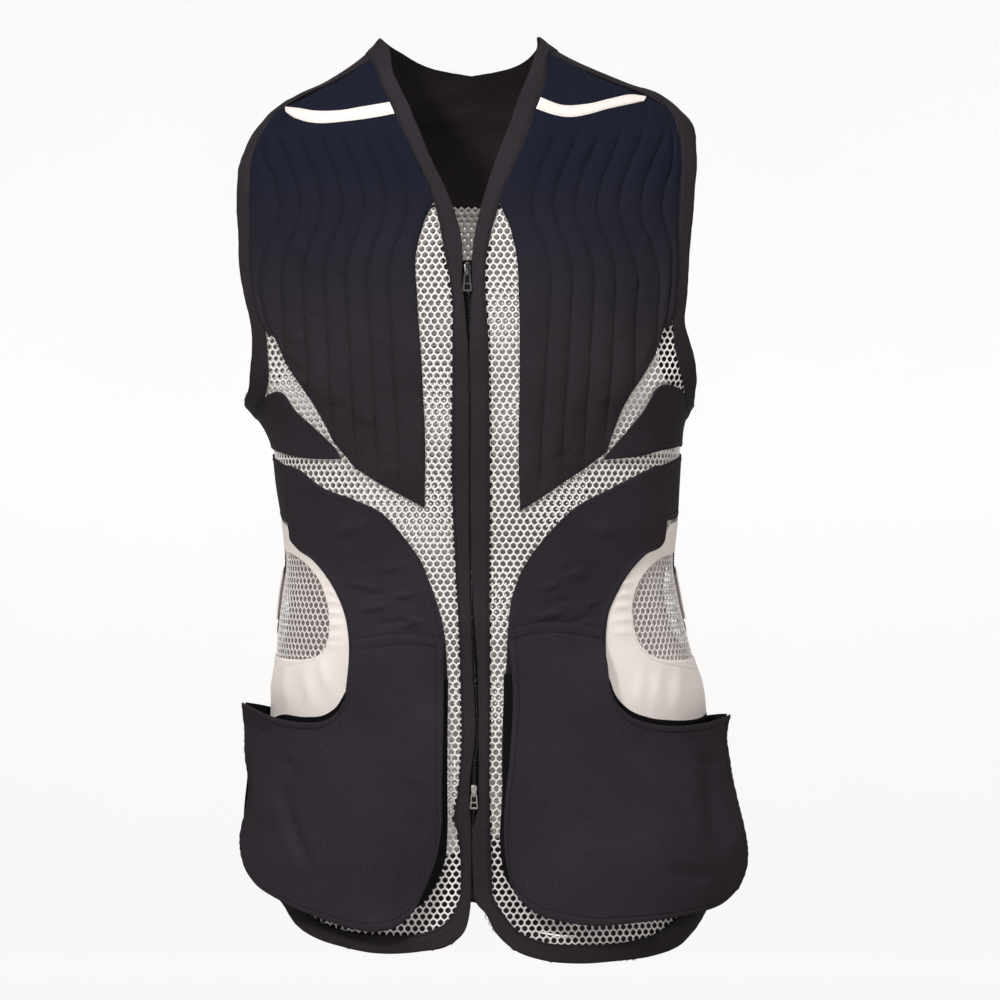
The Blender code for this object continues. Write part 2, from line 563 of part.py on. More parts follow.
def pad_columns(side):
    """The pad's sewn lines and its two edges, each from the shoulder seam to the lower edge."""
    seam, lower = SHOULDER_SEAM[side], PAD_LOWER[side]
    tip_outer = rows_of(FORM, side, lower)[-1]
    neck = neck_side(side, SEAM + 0.3)[1]
    neck = neck[neck[:, 1] < PAD_LEAVES_NECK]
    inner = drawn(np.concatenate([neck[::8], rows_of(FORM, side, PAD_INNER[side])]))
    arm = arm_line(side, ARM_SEWN, 0, 8, SEAM + 0.3)
    arm = arm[(arm[:, 0] < seam["turn"][-1]) & (arm[:, 1] < tip_outer[1] - 6)]
    outer = drawn(np.concatenate([arm[::8], tip_outer[None]]))
    middle = rows_of(FORM, side, {k: seam[k][1:-1] for k in ("turn", "down")}) + (0, SEAM / 2)
    top = drawn(np.concatenate([inner[:1], middle, outer[:1]]))
    columns = [inner]
    for number in range(QUILT_LINES):
        base = QUILT_FIRST + number * QUILT_STEP
        left_over = QUILT_LINES - number
        down = np.array((46, 62, 80, 97, 113, 129, 145, 162, 200, 250, 300, 340), float)
        out = base + smooth(QUILT_LEAN["down"], QUILT_LEAN["more_out"], down)
        edge = np.interp(down, outer[:, 1], outer[:, 0])
        turn = np.minimum(seen(FORM, side, out, down), edge - 1.8 * left_over)
        share = np.interp(out[0], seam["out"], even(len(seam["out"])))
        start = at_shares(top, [min(share, 1 - 0.07 * left_over)])[0]
        end_down = np.interp(out[-3:].mean(), lower["out"], lower["down"])
        for _ in range(4):
            end_out = base + smooth(QUILT_LEAN["down"], QUILT_LEAN["more_out"], end_down)
            end_down = np.interp(end_out, lower["out"], lower["down"])
        end = (min(seen(FORM, side, end_out, end_down), tip_outer[0] - 1.5), float(end_down))
        keep = down < end_down - 12
        columns.append(drawn(np.concatenate([[start], np.stack([turn, down], axis=1)[keep], [end]])))
    return columns + [outer]


def chest_pad(side):
    """Quilted pad: the outer points rise between the sewn lines and lie flat under the stripe and at edges."""
    rows = with_more(15, 0, 0.12, 4)
    lines = [at_shares(line, rows) for line in pad_columns(side)]
    grid, rise = [lines[0]], [0.0]
    for before, after in zip(lines, lines[1:]):
        grid += [(before + after) / 2, after]
        rise += [1.0, 0.15]
    rise[-1] = 0.0
    grid = np.stack(grid, axis=1)
    flat_down = np.clip((grid[..., 1] - 46) / 14, 0, 1) * np.clip(np.minimum(rows, 1 - rows) * 12, 0, 1)[:, None]
    cloth(f"chest_pad_{side}", side, grid, TWILL, "quilted twill",
          rise=QUILT_RISE * np.array(rise)[None] * flat_down)


def shoulder_stripe(side):
    """Pale stripe laid across the top of the pad, ending in a point near the armhole."""
    upper, lower = line_of(side, STRIPE_UPPER[side]), line_of(side, STRIPE_LOWER[side])
    cloth(f"shoulder_stripe_{side}", side, strip(upper, lower, even(12)), UPPER, "pale twill")


def side_strip(side):
    """Strip under the armhole, from its point at the pad round to the side seam."""
    arm = arm_line(side, ARM_SEWN, 8, ARM_SEWN_UNDER, SEAM + 0.3)
    free = rows_of(FORM, side, STRIP_UPPER[side])
    upper = drawn(np.concatenate([free, arm[arm[:, 1] > free[-1, 1] + 6][::12]]))
    grid = strip(upper, line_of(side, STRIP_LOWER[side]), even(15), 3)
    cloth(f"side_strip_{side}", side, grid, TWILL, "black twill")


def lower_front(side):
    """Black lower front, going on down behind the pocket."""
    top, inner = line_of(side, LOWER_TOP[side]), line_of(side, LOWER_INNER[side])
    outer = line_of(side, LOWER_OUTER[side])
    top = joined(outer[:1], top[1:])[::-1]
    foot = np.stack([inner[-1], outer[-1]])
    grid = patch(*(at_shares(line, even(11)) for line in (top, foot)),
                 *(at_shares(line, even(16)) for line in (inner, outer)))
    cloth(f"lower_front_{side}", side, grid, TWILL, "black twill")


def waist_side(side):
    grid = strip(line_of(side, WAIST_TOP[side]), line_of(side, WAIST_FOOT[side]), even(12), 4)
    cloth(f"waist_side_{side}", side, grid, TWILL, "black twill")


def window_reach(side, bearing):
    """How far the window's edge lies from its middle at a bearing, in shares of its size."""
    table = WINDOW[side]
    away = (loop(np.stack([table["turn"], table["down"]], axis=1).astype(float)) - WINDOW_MIDDLE[side]) / WINDOW_SIZE
    return np.interp(bearing, np.arctan2(away[:, 0], away[:, 1]), np.hypot(away[:, 0], away[:, 1]), period=2 * np.pi)


def side_panel(side):
    """Pale panel from the front seam to the back, with the window cut out of it."""
    top, front = line_of(side, PANEL_TOP[side]), line_of(side, PANEL_FRONT[side])
    foot = line_of(side, PANEL_FOOT[side])
    back = at_shares(joined(foot[-1:], top[:1]), even(60))
    corners = np.cumsum([0, len(top) - 1, 1, len(front) - 1, len(foot)])
    outline = np.concatenate([top, front, foot, back[1:]])
    centre, size = np.array(WINDOW_MIDDLE[side], float), np.array(WINDOW_SIZE, float)
    bearing = np.unwrap(np.arctan2(*((outline - centre) / size).T))
    pace = lengths(outline) / lengths(outline)[-1] + (bearing - bearing[0]) / (bearing[-1] - bearing[0])
    even_ones = np.interp(2 * even(37)[1:-1], pace, bearing)
    spokes = np.sort(np.concatenate([bearing[corners], even_ones]))
    spokes = spokes[np.concatenate([[True], np.diff(spokes) > 0.02])]
    outer = np.stack([np.interp(spokes, bearing, outline[:, k]) for k in (0, 1)], axis=1)
    inner = centre + size * window_reach(side, spokes)[:, None] * np.stack([np.sin(spokes), np.cos(spokes)], axis=1)
    share = np.array((0, 0.1, 0.25, 0.45, 0.7, 1))[None, :, None]
    grid = (1 - share) * inner[:, None] + share * outer[:, None]
    cloth(f"side_panel_{side}", side, grid, TWILL, "pale twill", closed=True)


def window_net(side):
    """Net behind the window, a grid squeezed into an oval."""
    u, v = np.meshgrid(np.linspace(-1, 1, 10), np.linspace(-1, 1, 8))
    disc = np.stack([u * np.sqrt(1 - v * v / 2), v * np.sqrt(1 - u * u / 2)], axis=-1)
    reach = window_reach(side, np.arctan2(disc[..., 0], disc[..., 1]))
    grid = disc * reach[..., None] * (np.array(WINDOW_SIZE) + WINDOW_ALLOWANCE) + WINDOW_MIDDLE[side]
    cloth(f"window_net_{side}", side, grid, NET, "white net")


def pocket_outline(side):
    """The pocket front's four edges: opening and top seam, inner side, foot and outer side."""
    top = joined(line_of(side, POCKET_OPENING[side], POCKET_FORM),
                 line_of(side, POCKET_SEAM[side], POCKET_FORM))[::-1]
    return (top, line_of(side, POCKET_FOOT[side], POCKET_FORM),
            line_of(side, POCKET_INNER[side], POCKET_FORM), line_of(side, POCKET_OUTER[side], POCKET_FORM))


def pocket_front(side):
    """Front of the bellows pocket. Its opening starts with a step down from the top seam."""
    top, foot, inner, outer = pocket_outline(side)
    along = lengths(top) / lengths(top)[-1]
    seam_end = len(line_of(side, POCKET_SEAM[side], POCKET_FORM)) - 1
    across = np.concatenate([along[seam_end] * even(5), along[seam_end + 1] + (1 - along[seam_end + 1]) * even(9)])
    grid = patch(*(at_shares(line, across) for line in (top, foot)),
                 *(at_shares(line, even(11)) for line in (inner, outer)))
    cloth(f"pocket_front_{side}", side, grid, (0.0, 1.2), "black twill", form=POCKET_FORM)


def pocket_gusset(side):
    """Strip that joins the pocket front's inner side, foot and outer side to the body."""
    _, foot, inner, outer = pocket_outline(side)
    edge = joined(inner, foot, outer[::-1])
    seam = line_of(side, GUSSET_SEAM[side])
    shares = even(40)
    start = GUSSET_START / lengths(edge)[-1]
    sign = (SIDES[side], 1)
    at_edge = lifted(POCKET_FORM, at_shares(edge, start + (1 - start) * shares) * sign, np.full(40, -1.8))
    seam = at_shares(seam, shares)
    on_net = np.clip((seam[:, 1] - 600) / 15, 0, 1) * np.clip((60 - seam[:, 0]) / 8, 0, 1)
    at_seam = lifted(FORM, seam * sign, TWILL[1] + 0.5 - 1.8 * on_net)
    outside = np.stack([at_seam, 0.5 * (at_seam + at_edge), at_edge], axis=1)
    ahead = np.gradient(outside, axis=0)
    inward = np.stack([ahead[..., 2], 0 * ahead[..., 0], -ahead[..., 0]], axis=-1) * SIDES[side]
    inward /= np.linalg.norm(inward, axis=-1, keepdims=True)
    wall(f"pocket_gusset_{side}", outside + 1.8 * inward, outside + 0.6 * inward, "black twill")


def neck_band(side):
    """Binding of the neck and the front edge, from the centre of the back down to the hem's corner."""
    free, sewn = line_of(side, NECK_FREE[side]), line_of(side, NECK_SEWN[side])
    free[0] -= (0.3, 0)
    sewn[0] -= (0.3, 0)
    cloth(f"neck_band_{side}", side, strip(free, sewn, even(60)), BAND, "black binding")


def armhole_band(side):
    free, sewn = (loop(rows_of(FORM, side, table[side])) for table in (ARM_FREE, ARM_SEWN))
    cloth(f"armhole_band_{side}", side, strip(free, sewn, even(57))[:-1], BAND, "black binding", closed=True)


def hem_band(side):
    grid = strip(line_of(side, HEM_FREE[side]), line_of(side, HEM_SEWN[side]), even(28))
    cloth(f"hem_band_{side}", side, grid, BAND, "black binding")


def back_hem():
    turn = np.array(BACK_HEM["turn"], float)
    free, sewn = (drawn(np.stack([turn, BACK_HEM[edge]], axis=1)) for edge in ("free", "sewn"))
    cloth("hem_band_back", "both", strip(free, sewn, even(30)), BAND, "black binding")


def back_net():
    """Plain back of net from under the yoke to the hem."""
    edges = []
    for side in SIDES:
        arm = arm_line(side, ARM_FREE, ARM_UNDER, 17, 1.5)[::-1]
        arm = arm[(arm[:, 1] > YOKE_FOOT - 12) & (arm[:, 0] > SIDE_SEAM["back"])]
        waist, fall = line_of(side, BACK_NET_WAIST), line_of(side, BACK_NET_FOOT)
        edges.append(in_steps([*cut(arm, (225,)), joined(arm[-1:], waist[:1]), waist, joined(waist[-1:], fall)],
                              (4, 4, 4, 6, 6)))
    left, right = edges[0] * (-1, 1), edges[1] - (360, 0)
    hem = drawn(np.stack([BACK_HEM["turn"], BACK_HEM["free"]], axis=1).astype(float) - (0, 2))
    inside = (hem[:, 0] < left[-1, 0]) & (hem[:, 0] > right[-1, 0])
    across = even(13) - 0.06 * np.sin(2 * np.pi * even(13))
    foot = at_shares(joined(left[-1:], hem[inside], right[-1:]), across)
    top = at_shares(np.stack([left[0], right[0]]), across)
    cloth("back_net", "both", patch(top, foot, left, right, foot_pull=3), NET, "white net")


def back_yoke():
    """Black yoke from the shoulder seams over the shoulders to the upper back, round the neck band."""
    inner, outer = [], []
    for side in SIDES:
        seam = SHOULDER_SEAM[side]
        neck = neck_side(side, SEAM + 0.8)[0][::-1]
        arm = arm_line(side, ARM_SEWN, -3, 2, SEAM + 0.8)[::-1]
        arm = arm[(arm[:, 0] > seam["turn"][-1]) & (arm[:, 1] < YOKE_FOOT)]
        across = np.stack([arm[-1], (180, YOKE_FOOT)])
        shift = np.array((0, -SEAM / 2))
        behind = int(np.argmax(arm[:, 0] > 100))
        inner.append(at_shares(joined(neck[:1] + shift, neck[3:]), even(19)))
        outer.append(in_steps([joined(arm[:1] + shift, arm[3:behind + 1]), arm[behind:], across], (7, 4, 7)))
    grids = [np.stack([(1 - u) * a + u * b for u in even(6)], axis=1) for a, b in zip(inner, outer)]
    left = grids[0] * (-1, 1)
    right = (grids[1] - (360, 0))[::-1]
    cloth("back_yoke", "both", np.concatenate([left, right[1:]]), TWILL, "black twill")


def zip_tape(side):
    """One tape of the zip, behind the band's edge."""
    down = np.linspace(*ZIP_ENDS, 22)
    line = smooth(ZIP_LINE["down"], ZIP_LINE["x"], down) * SIDES[side]
    edges = [np.stack([seen(FORM, side, line + gap, down), down], axis=1) for gap in (0.5, TAPE_WIDE)]
    grid = np.stack(edges, axis=1)
    cloth(f"zip_tape_{side}", side, grid, TAPE, "black coil")


def seat(x, down, lift):
    """Place and turn of a hard piece on the front: right, out of the cloth and up as its own axes."""
    side = "left" if x < 0 else "right"
    turn = seen(FORM, side, abs(x), down) * SIDES[side]
    middle, higher = (lifted(FORM, np.array([[turn, d]]), np.array([lift]))[0] for d in (down, down - 6))
    up = (higher - middle) * (0, 1, 1)
    up /= np.linalg.norm(up)
    right = np.array((1.0, 0, 0))
    return middle, right, np.cross(right, up), up


def place(made, at, right, out, up):
    """Set an object whose own X is right, Y goes into the cloth and Z is up."""
    turned = Matrix(np.stack([right, -out, up], axis=1).tolist()).to_4x4()
    made.matrix_world = Matrix.Translation(tuple(at * MM)) @ turned


def prism(name, outline, low, high, along, finish):
    """A prism on a closed outline; along is the axis that it is drawn out on, 0 for X and 1 for Y."""
    count = len(outline)
    points = []
    for level in (low, high):
        for a, b in outline:
            points.append((level, -a, b) if along == 0 else (a, -level, b))
    faces = [tuple(range(count)), tuple(range(2 * count - 1, count - 1, -1))]
    faces += [((i + 1) % count, i, i + count, (i + 1) % count + count) for i in range(count)]
    return piece(name, points, faces, finish, sharp=30)


def slider(name, size, finish):
    """Zip slider: a shield-shaped body with a bridge on it that the pull tab hangs on."""
    k, half = size["scale"], size["half_wide"]
    shield = [(-0.55 * half, -6.2 * k), (0.55 * half, -6.2 * k), (0.8 * half, -3 * k), (half, 1.5 * k),
              (half, 4.4 * k), (0.6 * half, 6.2 * k), (-0.6 * half, 6.2 * k), (-half, 4.4 * k),
              (-half, 1.5 * k), (-0.8 * half, -3 * k)]
    body = prism(name, shield, SLIDER_LIFT[0], SLIDER_LIFT[1], 1, finish)
    low, high, thick, top = (BRIDGE[key] for key in ("low", "high", "wall", "top"))
    low, high = low * k, high * k
    foot = SLIDER_LIFT[1] - 0.8
    arch = [(foot, low), (top - 0.8, low), (top, low + 0.9), (top, high - 1.2), (top - 1.4, high), (foot, high),
            (foot, high - thick), (top - 1.9, high - thick), (top - thick, high - thick - 1.0),
            (top - thick, low + 1.2), (top - 1.1, low + thick), (foot, low + thick)]
    bridge = prism(f"{name}_bridge", arch, -BRIDGE["wide"] / 2, BRIDGE["wide"] / 2, 0, finish)
    at = seat(size["x"], size["down"], 0)
    for made in (body, bridge):
        place(made, *at)
    bridge.hide_render = True
    bridge.display_type = "WIRE"
    union = body.modifiers.new("bridge", "BOOLEAN")
    union.operation = "UNION"
    union.object = bridge
    return at


def pull_tab(name, size, at, finish):
    """Flat pull tab: a hinge bar through the slider's bridge, two legs and a plate with a window."""
    k = size["scale"]
    below, half, gap = (np.array(PULL_TAB[key]) for key in ("below", "half", "gap"))
    below = np.where(below > 1, below * k, below)
    half = np.where(np.arange(len(half)) < 2, half, half * (0.75 + 0.25 * k) - (1 - k) * 1.5)
    gap = np.minimum(gap, half - 0.7)
    rows = len(below)
    across = np.stack([-half, -gap, gap, half], axis=1)
    points = [(x, level, -b) for level in (-TAB_THICK / 2, TAB_THICK / 2)
              for b, line in zip(below, across) for x in line]
    solid = np.ones((rows + 1, 5), bool)
    solid[0] = solid[-1] = solid[:, 0] = solid[:, -1] = False
    for row in PULL_TAB_GAPS:
        solid[row + 1, 2] = False
    upper = rows * 4
    faces = []
    for i in range(rows - 1):
        for j in range(3):
            if not solid[i + 1, j + 1]:
                continue
            a, b, c, d = i * 4 + j, i * 4 + j + 1, (i + 1) * 4 + j + 1, (i + 1) * 4 + j
            faces += [(a, b, c, d), (d + upper, c + upper, b + upper, a + upper)]
            beside = {(a, b): (i, j + 1), (b, c): (i + 1, j + 2), (c, d): (i + 2, j + 1), (d, a): (i + 1, j)}
            faces += [(q, p, p + upper, q + upper) for (p, q), cell in beside.items() if not solid[cell]]
    middle, right, out, up = at
    made = piece(name, points, faces, finish, sharp=30)
    place(made, middle + up * (BRIDGE["low"] * k + TAB_AXIS[0]) + out * TAB_AXIS[1], right, out, up)


def zips():
    for end, finish in (("top", "black enamel"), ("bottom", "grey metal")):
        at = slider(f"zip_slider_{end}", SLIDERS[end], finish)
        pull_tab(f"zip_pull_{end}", SLIDERS[end], at, finish)


def adjuster(side):
    """Waist adjuster: a black tape sewn to the pale panel, a pale tab hanging from it, and a ring."""
    wide = ADJUSTER_WIDE / 2 / ADJUSTER_GIRTH
    edges = (ADJUSTER_TURN - wide, ADJUSTER_TURN + wide)
    for part, (top, foot), layer, finish in (("tape", ADJUSTER_TAPE, (3.4, 4.2), "black binding"),
                                             ("tab", ADJUSTER_TAB, (4.6, 5.6), "pale twill")):
        grid = np.stack([np.stack([np.full(5, turn), np.linspace(top, foot, 5)], axis=1) for turn in edges], axis=1)
        cloth(f"adjuster_{part}_{side}", side, grid, layer, finish)
    ring = ADJUSTER_RING
    here = np.array([[ADJUSTER_TURN * SIDES[side], ring["down"]]])
    middle = lifted(FORM, here, np.array([ring["lift"]]))[0]
    out = middle - lifted(FORM, here, np.array([0.0]))[0]
    out /= np.linalg.norm(out)
    along = np.cross(out, (0, 0, 1.0))
    along /= np.linalg.norm(along)
    up = np.cross(along, out)
    wire = []
    for angle in np.linspace(0, 2 * np.pi, 16, endpoint=False):
        spoke = along * math.cos(angle) + up * math.sin(angle)
        wire.append([middle + spoke * (ring["radius"] + ring["wire"] * math.cos(a)) + out * ring["wire"] * math.sin(a)
                     for a in np.linspace(0, 2 * np.pi, 6, endpoint=False)])
    wire = np.array(wire)
    index = np.arange(96).reshape(16, 6)
    ahead = np.roll(index, -1, axis=0)
    faces = np.stack([index, np.roll(index, -1, axis=1), np.roll(ahead, -1, axis=1), ahead], axis=-1).reshape(-1, 4)
    piece(f"adjuster_ring_{side}", wire.reshape(-1, 3), faces, "dark plastic", sharp=60)


def build():
    for old in list(bpy.data.objects):
        bpy.data.objects.remove(old)
    for side in SIDES:
        for make in (front_net, chest_pad, shoulder_stripe, side_strip, lower_front, waist_side, side_panel,
                     window_net, pocket_front, pocket_gusset, neck_band, armhole_band, hem_band, zip_tape,
                     adjuster):
            make(side)
    for make in (back_net, back_yoke, back_hem, zips):
        make()


build()
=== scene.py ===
"""Shooting vest: net, quilted and plain twill, bindings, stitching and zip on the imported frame.

Axes: +Z up, the front faces -Y. Left and right are as seen from the front, so left is -X. Tables hold
millimetres and degrees. "down" is the depth below the origin between the shoulders, "out" the distance
from the zip's plane as seen from the front, and "turn" the angle round the body from the front centre.
"""
import math

import bpy
import numpy as np
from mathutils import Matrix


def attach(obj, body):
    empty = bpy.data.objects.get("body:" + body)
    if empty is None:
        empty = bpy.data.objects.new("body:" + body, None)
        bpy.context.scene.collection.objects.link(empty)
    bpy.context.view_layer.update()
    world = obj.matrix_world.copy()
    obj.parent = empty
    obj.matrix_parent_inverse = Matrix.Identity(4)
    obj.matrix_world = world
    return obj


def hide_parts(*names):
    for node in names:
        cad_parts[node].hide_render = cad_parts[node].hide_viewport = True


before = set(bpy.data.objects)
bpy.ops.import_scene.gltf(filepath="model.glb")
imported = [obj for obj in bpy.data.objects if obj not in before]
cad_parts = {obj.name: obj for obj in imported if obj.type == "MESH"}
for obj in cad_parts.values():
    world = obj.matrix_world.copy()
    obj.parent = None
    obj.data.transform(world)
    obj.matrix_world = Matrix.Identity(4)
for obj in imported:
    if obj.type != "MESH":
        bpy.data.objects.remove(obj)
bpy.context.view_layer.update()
MM = 0.001
SIDES = {"left": -1, "right": 1}


# ---- View, lights and floor ----
# The vest is seen level from the front, from four metres, with a long lens. Two wide soft lamps stand in
# front at the sides, one hangs above and a weak one stands behind. The floor and the wall round it are one
# pale dish, which glows behind the vest.
VIEW = {"from": (0.024, -4.0, -0.3464), "lens": 174.6}
LAMPS = {
    "name": ("key", "fill", "top", "back"),
    "at": ((-2.0, -2.9, 2.1), (2.6, -2.7, 1.0), (0.1, -1.5, 2.6), (0.0, 1.7, 0.9)),
    "size": (0.7, 1.3, 0.9, 1.4),
    "power": (118, 34, 46, 4),
}
GLOW = {"from": 1.4, "to": 3.4}
FLOOR = {"down": 1180, "reach": 5600, "bend": 900, "high": 3100, "spokes": 96, "arc": 1420}

eye = bpy.data.cameras.new("view")
eye.lens = VIEW["lens"]
eye.sensor_width = 36
camera = bpy.data.objects.new("view", eye)
camera.location = VIEW["from"]
camera.rotation_euler = (math.radians(90), 0, 0)
bpy.context.collection.objects.link(camera)
bpy.context.scene.camera = camera

for name, at, size, power in zip(*(LAMPS[key] for key in ("name", "at", "size", "power"))):
    glow = bpy.data.lights.new(name, "AREA")
    glow.shape = "DISK"
    glow.size = size
    glow.energy = power
    lamp = bpy.data.objects.new(name, glow)
    lamp.location = at
    aim = np.array((0, 0, -0.35)) - at
    yaw, reach = math.atan2(aim[1], aim[0]), math.hypot(aim[0], aim[1])
    lamp.rotation_euler = (math.atan2(reach, -aim[2]), 0, yaw - math.pi / 2)
    bpy.context.collection.objects.link(lamp)

air = bpy.data.worlds.new("air")
air.use_nodes = True
air.node_tree.nodes["Background"].inputs["Color"].default_value = (1.0, 0.985, 0.97, 1)
air.node_tree.nodes["Background"].inputs["Strength"].default_value = 0.12
bpy.context.scene.world = air
bpy.context.scene.view_settings.view_transform = "Standard"


class Signal:
    """A socket in a finish. Arithmetic on it adds Math nodes."""

    def __init__(self, finish, socket):
        self.finish = finish
        self.socket = socket

    def math(self, operation, *values):
        return self.finish.node("ShaderNodeMath", {"operation": operation}, dict(enumerate(values)))

    def __add__(self, other):
        return self.math("ADD", self, other)

    def __sub__(self, other):
        return self.math("SUBTRACT", self, other)

    def __mul__(self, other):
        return self.math("MULTIPLY", self, other)

    def sine(self):
        return self.math("SINE", self)

    def step(self, low, high):
        """Share of the way from low to high, held between 0 and 1."""
        return self.finish.node("ShaderNodeMapRange", {"clamp": True}, {0: self, 1: low, 2: high, 3: 0.0, 4: 1.0})


class Finish:
    """A material made from its shader's fixed values; node() adds any other node."""

    def __init__(self, name, colour, roughness, **fixed):
        self.material = bpy.data.materials.new(name)
        self.material.use_nodes = True
        self.tree = self.material.node_tree
        self.shader = self.tree.nodes["Principled BSDF"]
        self.set("Base Color", (*colour, 1))
        self.set("Roughness", roughness)
        for key, value in fixed.items():
            self.set(key.replace("_", " "), value)

    def set(self, key, value):
        if isinstance(value, Signal):
            self.tree.links.new(value.socket, self.shader.inputs[key])
        else:
            self.shader.inputs[key].default_value = value

    def node(self, kind, settings, values, output=0):
        made = self.tree.nodes.new(kind)
        for key, value in settings.items():
            setattr(made, key, value)
        for key, value in values.items():
            if isinstance(value, Signal):
                self.tree.links.new(value.socket, made.inputs[key])
            else:
                made.inputs[key].default_value = value
        return Signal(self, made.outputs[output])

    def place(self, output="Object"):
        return self.node("ShaderNodeTexCoord", {}, {}, output)

    def noise(self, where, scale, detail=2.0, rough=0.5):
        return self.node("ShaderNodeTexNoise", {},
                         {"Vector": where, "Scale": scale, "Detail": detail, "Roughness": rough}, "Fac")

    def part(self, vector, axis):
        return self.node("ShaderNodeSeparateXYZ", {}, {0: vector}, axis)

    def mix(self, share, *colours):
        """One colour into the other by a share. A colour is red, green and blue, or a signal."""
        one, other = (colour if isinstance(colour, Signal) else (*colour, 1) for colour in colours)
        return self.node("ShaderNodeMix", {"data_type": "RGBA"}, {0: share, 6: one, 7: other}, 2)

    def clouded(self, scale, dark, light, detail=2.0, rough=0.5):
        """Base colour clouded between two tones. It gives the cloud for further use."""
        cloud = self.noise(self.place(), scale, detail, rough)
        self.set("Base Color", self.mix(cloud, dark, light))
        return cloud

    def relief(self, height, distance, strength=1.0):
        bump = self.node("ShaderNodeBump", {}, {"Height": height, "Distance": distance, "Strength": strength})
        self.set("Normal", bump)


plain = Finish("floor paint", (0.50, 0.49, 0.48), 0.85, Emission_Color=(1, 1, 1, 1), Emission_Strength=0.62)
plain.clouded(3.0, (0.49, 0.48, 0.47), (0.52, 0.51, 0.50))
behind = plain.part(plain.place(), 1).step(GLOW["from"], GLOW["to"])
plain.set("Emission Color", plain.mix(behind, (0.22, 0.22, 0.22), (1, 1, 1)))


def lattice(index, wrap=(0, 0)):
    """Faces between the neighbours in a grid of point numbers; wrap joins its last row or column to the first."""
    index = np.pad(index, [(0, more) for more in wrap], mode="wrap")
    return np.stack([index[:-1, :-1], index[:-1, 1:], index[1:, 1:], index[1:, :-1]], axis=-1).reshape(-1, 4)


def dish(turn, run):
    """Level round floor that bends up a quarter circle into an upright wall. turn goes round, run from the
    middle outwards and up."""
    reach, bend = FLOOR["reach"], FLOOR["bend"]
    angle = np.clip((run - (reach - bend)) / bend, 0, math.pi / 2)
    out = np.clip(run, 0, reach - bend) + bend * np.sin(angle)
    rise = np.clip(run - (reach - bend) - bend * math.pi / 2, 0, None)
    return np.stack([out * np.sin(turn), -out * np.cos(turn), bend * (1 - np.cos(angle)) + rise - FLOOR["down"]],
                    axis=-1)


level = FLOOR["reach"] - FLOOR["bend"]
rings = np.concatenate([[1, 2000], np.linspace(level, level + FLOOR["arc"], 24), [level + FLOOR["high"]]])
turns, runs = np.meshgrid(np.linspace(0, 2 * np.pi, FLOOR["spokes"], endpoint=False), rings)
spots = dish(turns, runs)
quads = lattice(np.arange(turns.size).reshape(turns.shape), wrap=(0, 1))[:, ::-1]
mesh = bpy.data.meshes.new("floor")
mesh.from_pydata((spots.reshape(-1, 3) * MM).tolist(), [], quads.tolist())
mesh.shade_smooth()
mesh.materials.append(plain.material)
floor = bpy.data.objects.new("floor", mesh)
bpy.context.collection.objects.link(floor)


# ---- Net ----
# White knitted net with even six-sided holes carries the whole vest: one piece for each front and one for
# the back, joined at the side seams. Its yarn is one and a half millimetres wide and nearly one thick.
FORM = {
    "down": (-37, -20, 5, 15, 29, 37, 56, 80, 120, 200, 232, 248, 260, 272, 289, 302,
             335, 363, 397, 426, 461, 486, 515, 570, 640, 720),
    "left": (69, 84, 120, 142, 162, 171, 190, 204, 211, 211, 206, 200, 191, 179, 167, 162,
             158, 153.5, 150.5, 154, 158, 159.5, 162, 165, 166, 166),
    "right": (50, 72, 127, 154, 172, 180, 192, 203, 210, 209, 205, 199, 188, 178, 172.5, 171.5,
              169.5, 168, 165, 169, 177.5, 184, 191, 194, 196, 196),
    "front": (27, 40, 58, 64, 71, 76, 84, 94, 108, 124, 126, 127, 127, 127, 126, 125,
              122, 120, 118, 119, 121, 122, 124, 126, 128, 129),
    "back": (44, 60, 74, 79, 84, 88, 94, 101, 110, 118, 118, 117, 116, 115, 113, 111,
             107, 104, 102, 104, 108, 111, 114, 118, 121, 122),
    "square": (2.0, 2.0, 2.1, 2.1, 2.2, 2.2, 2.25, 2.3, 2.3, 2.3, 2.3, 2.3, 2.3, 2.3, 2.3, 2.3,
               2.3, 2.3, 2.3, 2.3, 2.3, 2.35, 2.35, 2.4, 2.4, 2.4),
}
NECK_FREE = {
    "left": ({"turn": (180, 150, 120, 93), "down": (-8, -14, -26, -33)},
             {"out": (61, 44, 34, 15, 7, 6, 6, 5, 3.9, 3.3, 1.8, 0.9, 0.7, -0.5, -2.6, -4.2, -0.2, -0.2, -1, -1),
              "down": (3, 41, 66, 108, 136, 150, 172, 182, 192, 200, 217, 240, 267, 426, 485, 538, 572, 592, 606,
                       663)}),
    "right": ({"turn": (180, 150, 120, 95), "down": (-8, -14, -26, -34)},
              {"out": (54, 44, 31, 9.5, 2, 1.2, 0.6, 0.2, 0.6, 2, 6, 6.8, 6.8, 6.4, 3, 3),
               "down": (-22, 8, 45, 108, 146, 172, 190, 215, 267, 426, 485, 538, 572, 592, 606, 663)}),
}
HEM_FREE = {
    "left": ({"out": (-1, 0, 5, 17, 40, 72, 104, 122, 140), "down": (661, 675, 692, 702, 707, 709, 704, 699, 688)},
             {"turn": (64, 75, 85, 98), "down": (677, 662, 652, 648)}),
    "right": ({"out": (3, 5, 12, 20, 36, 58, 84, 115, 146, 168),
               "down": (661, 668, 676, 691, 706, 714, 717, 716, 713, 706)},
              {"turn": (70, 77, 86, 98), "down": (696, 681, 667, 659)}),
}
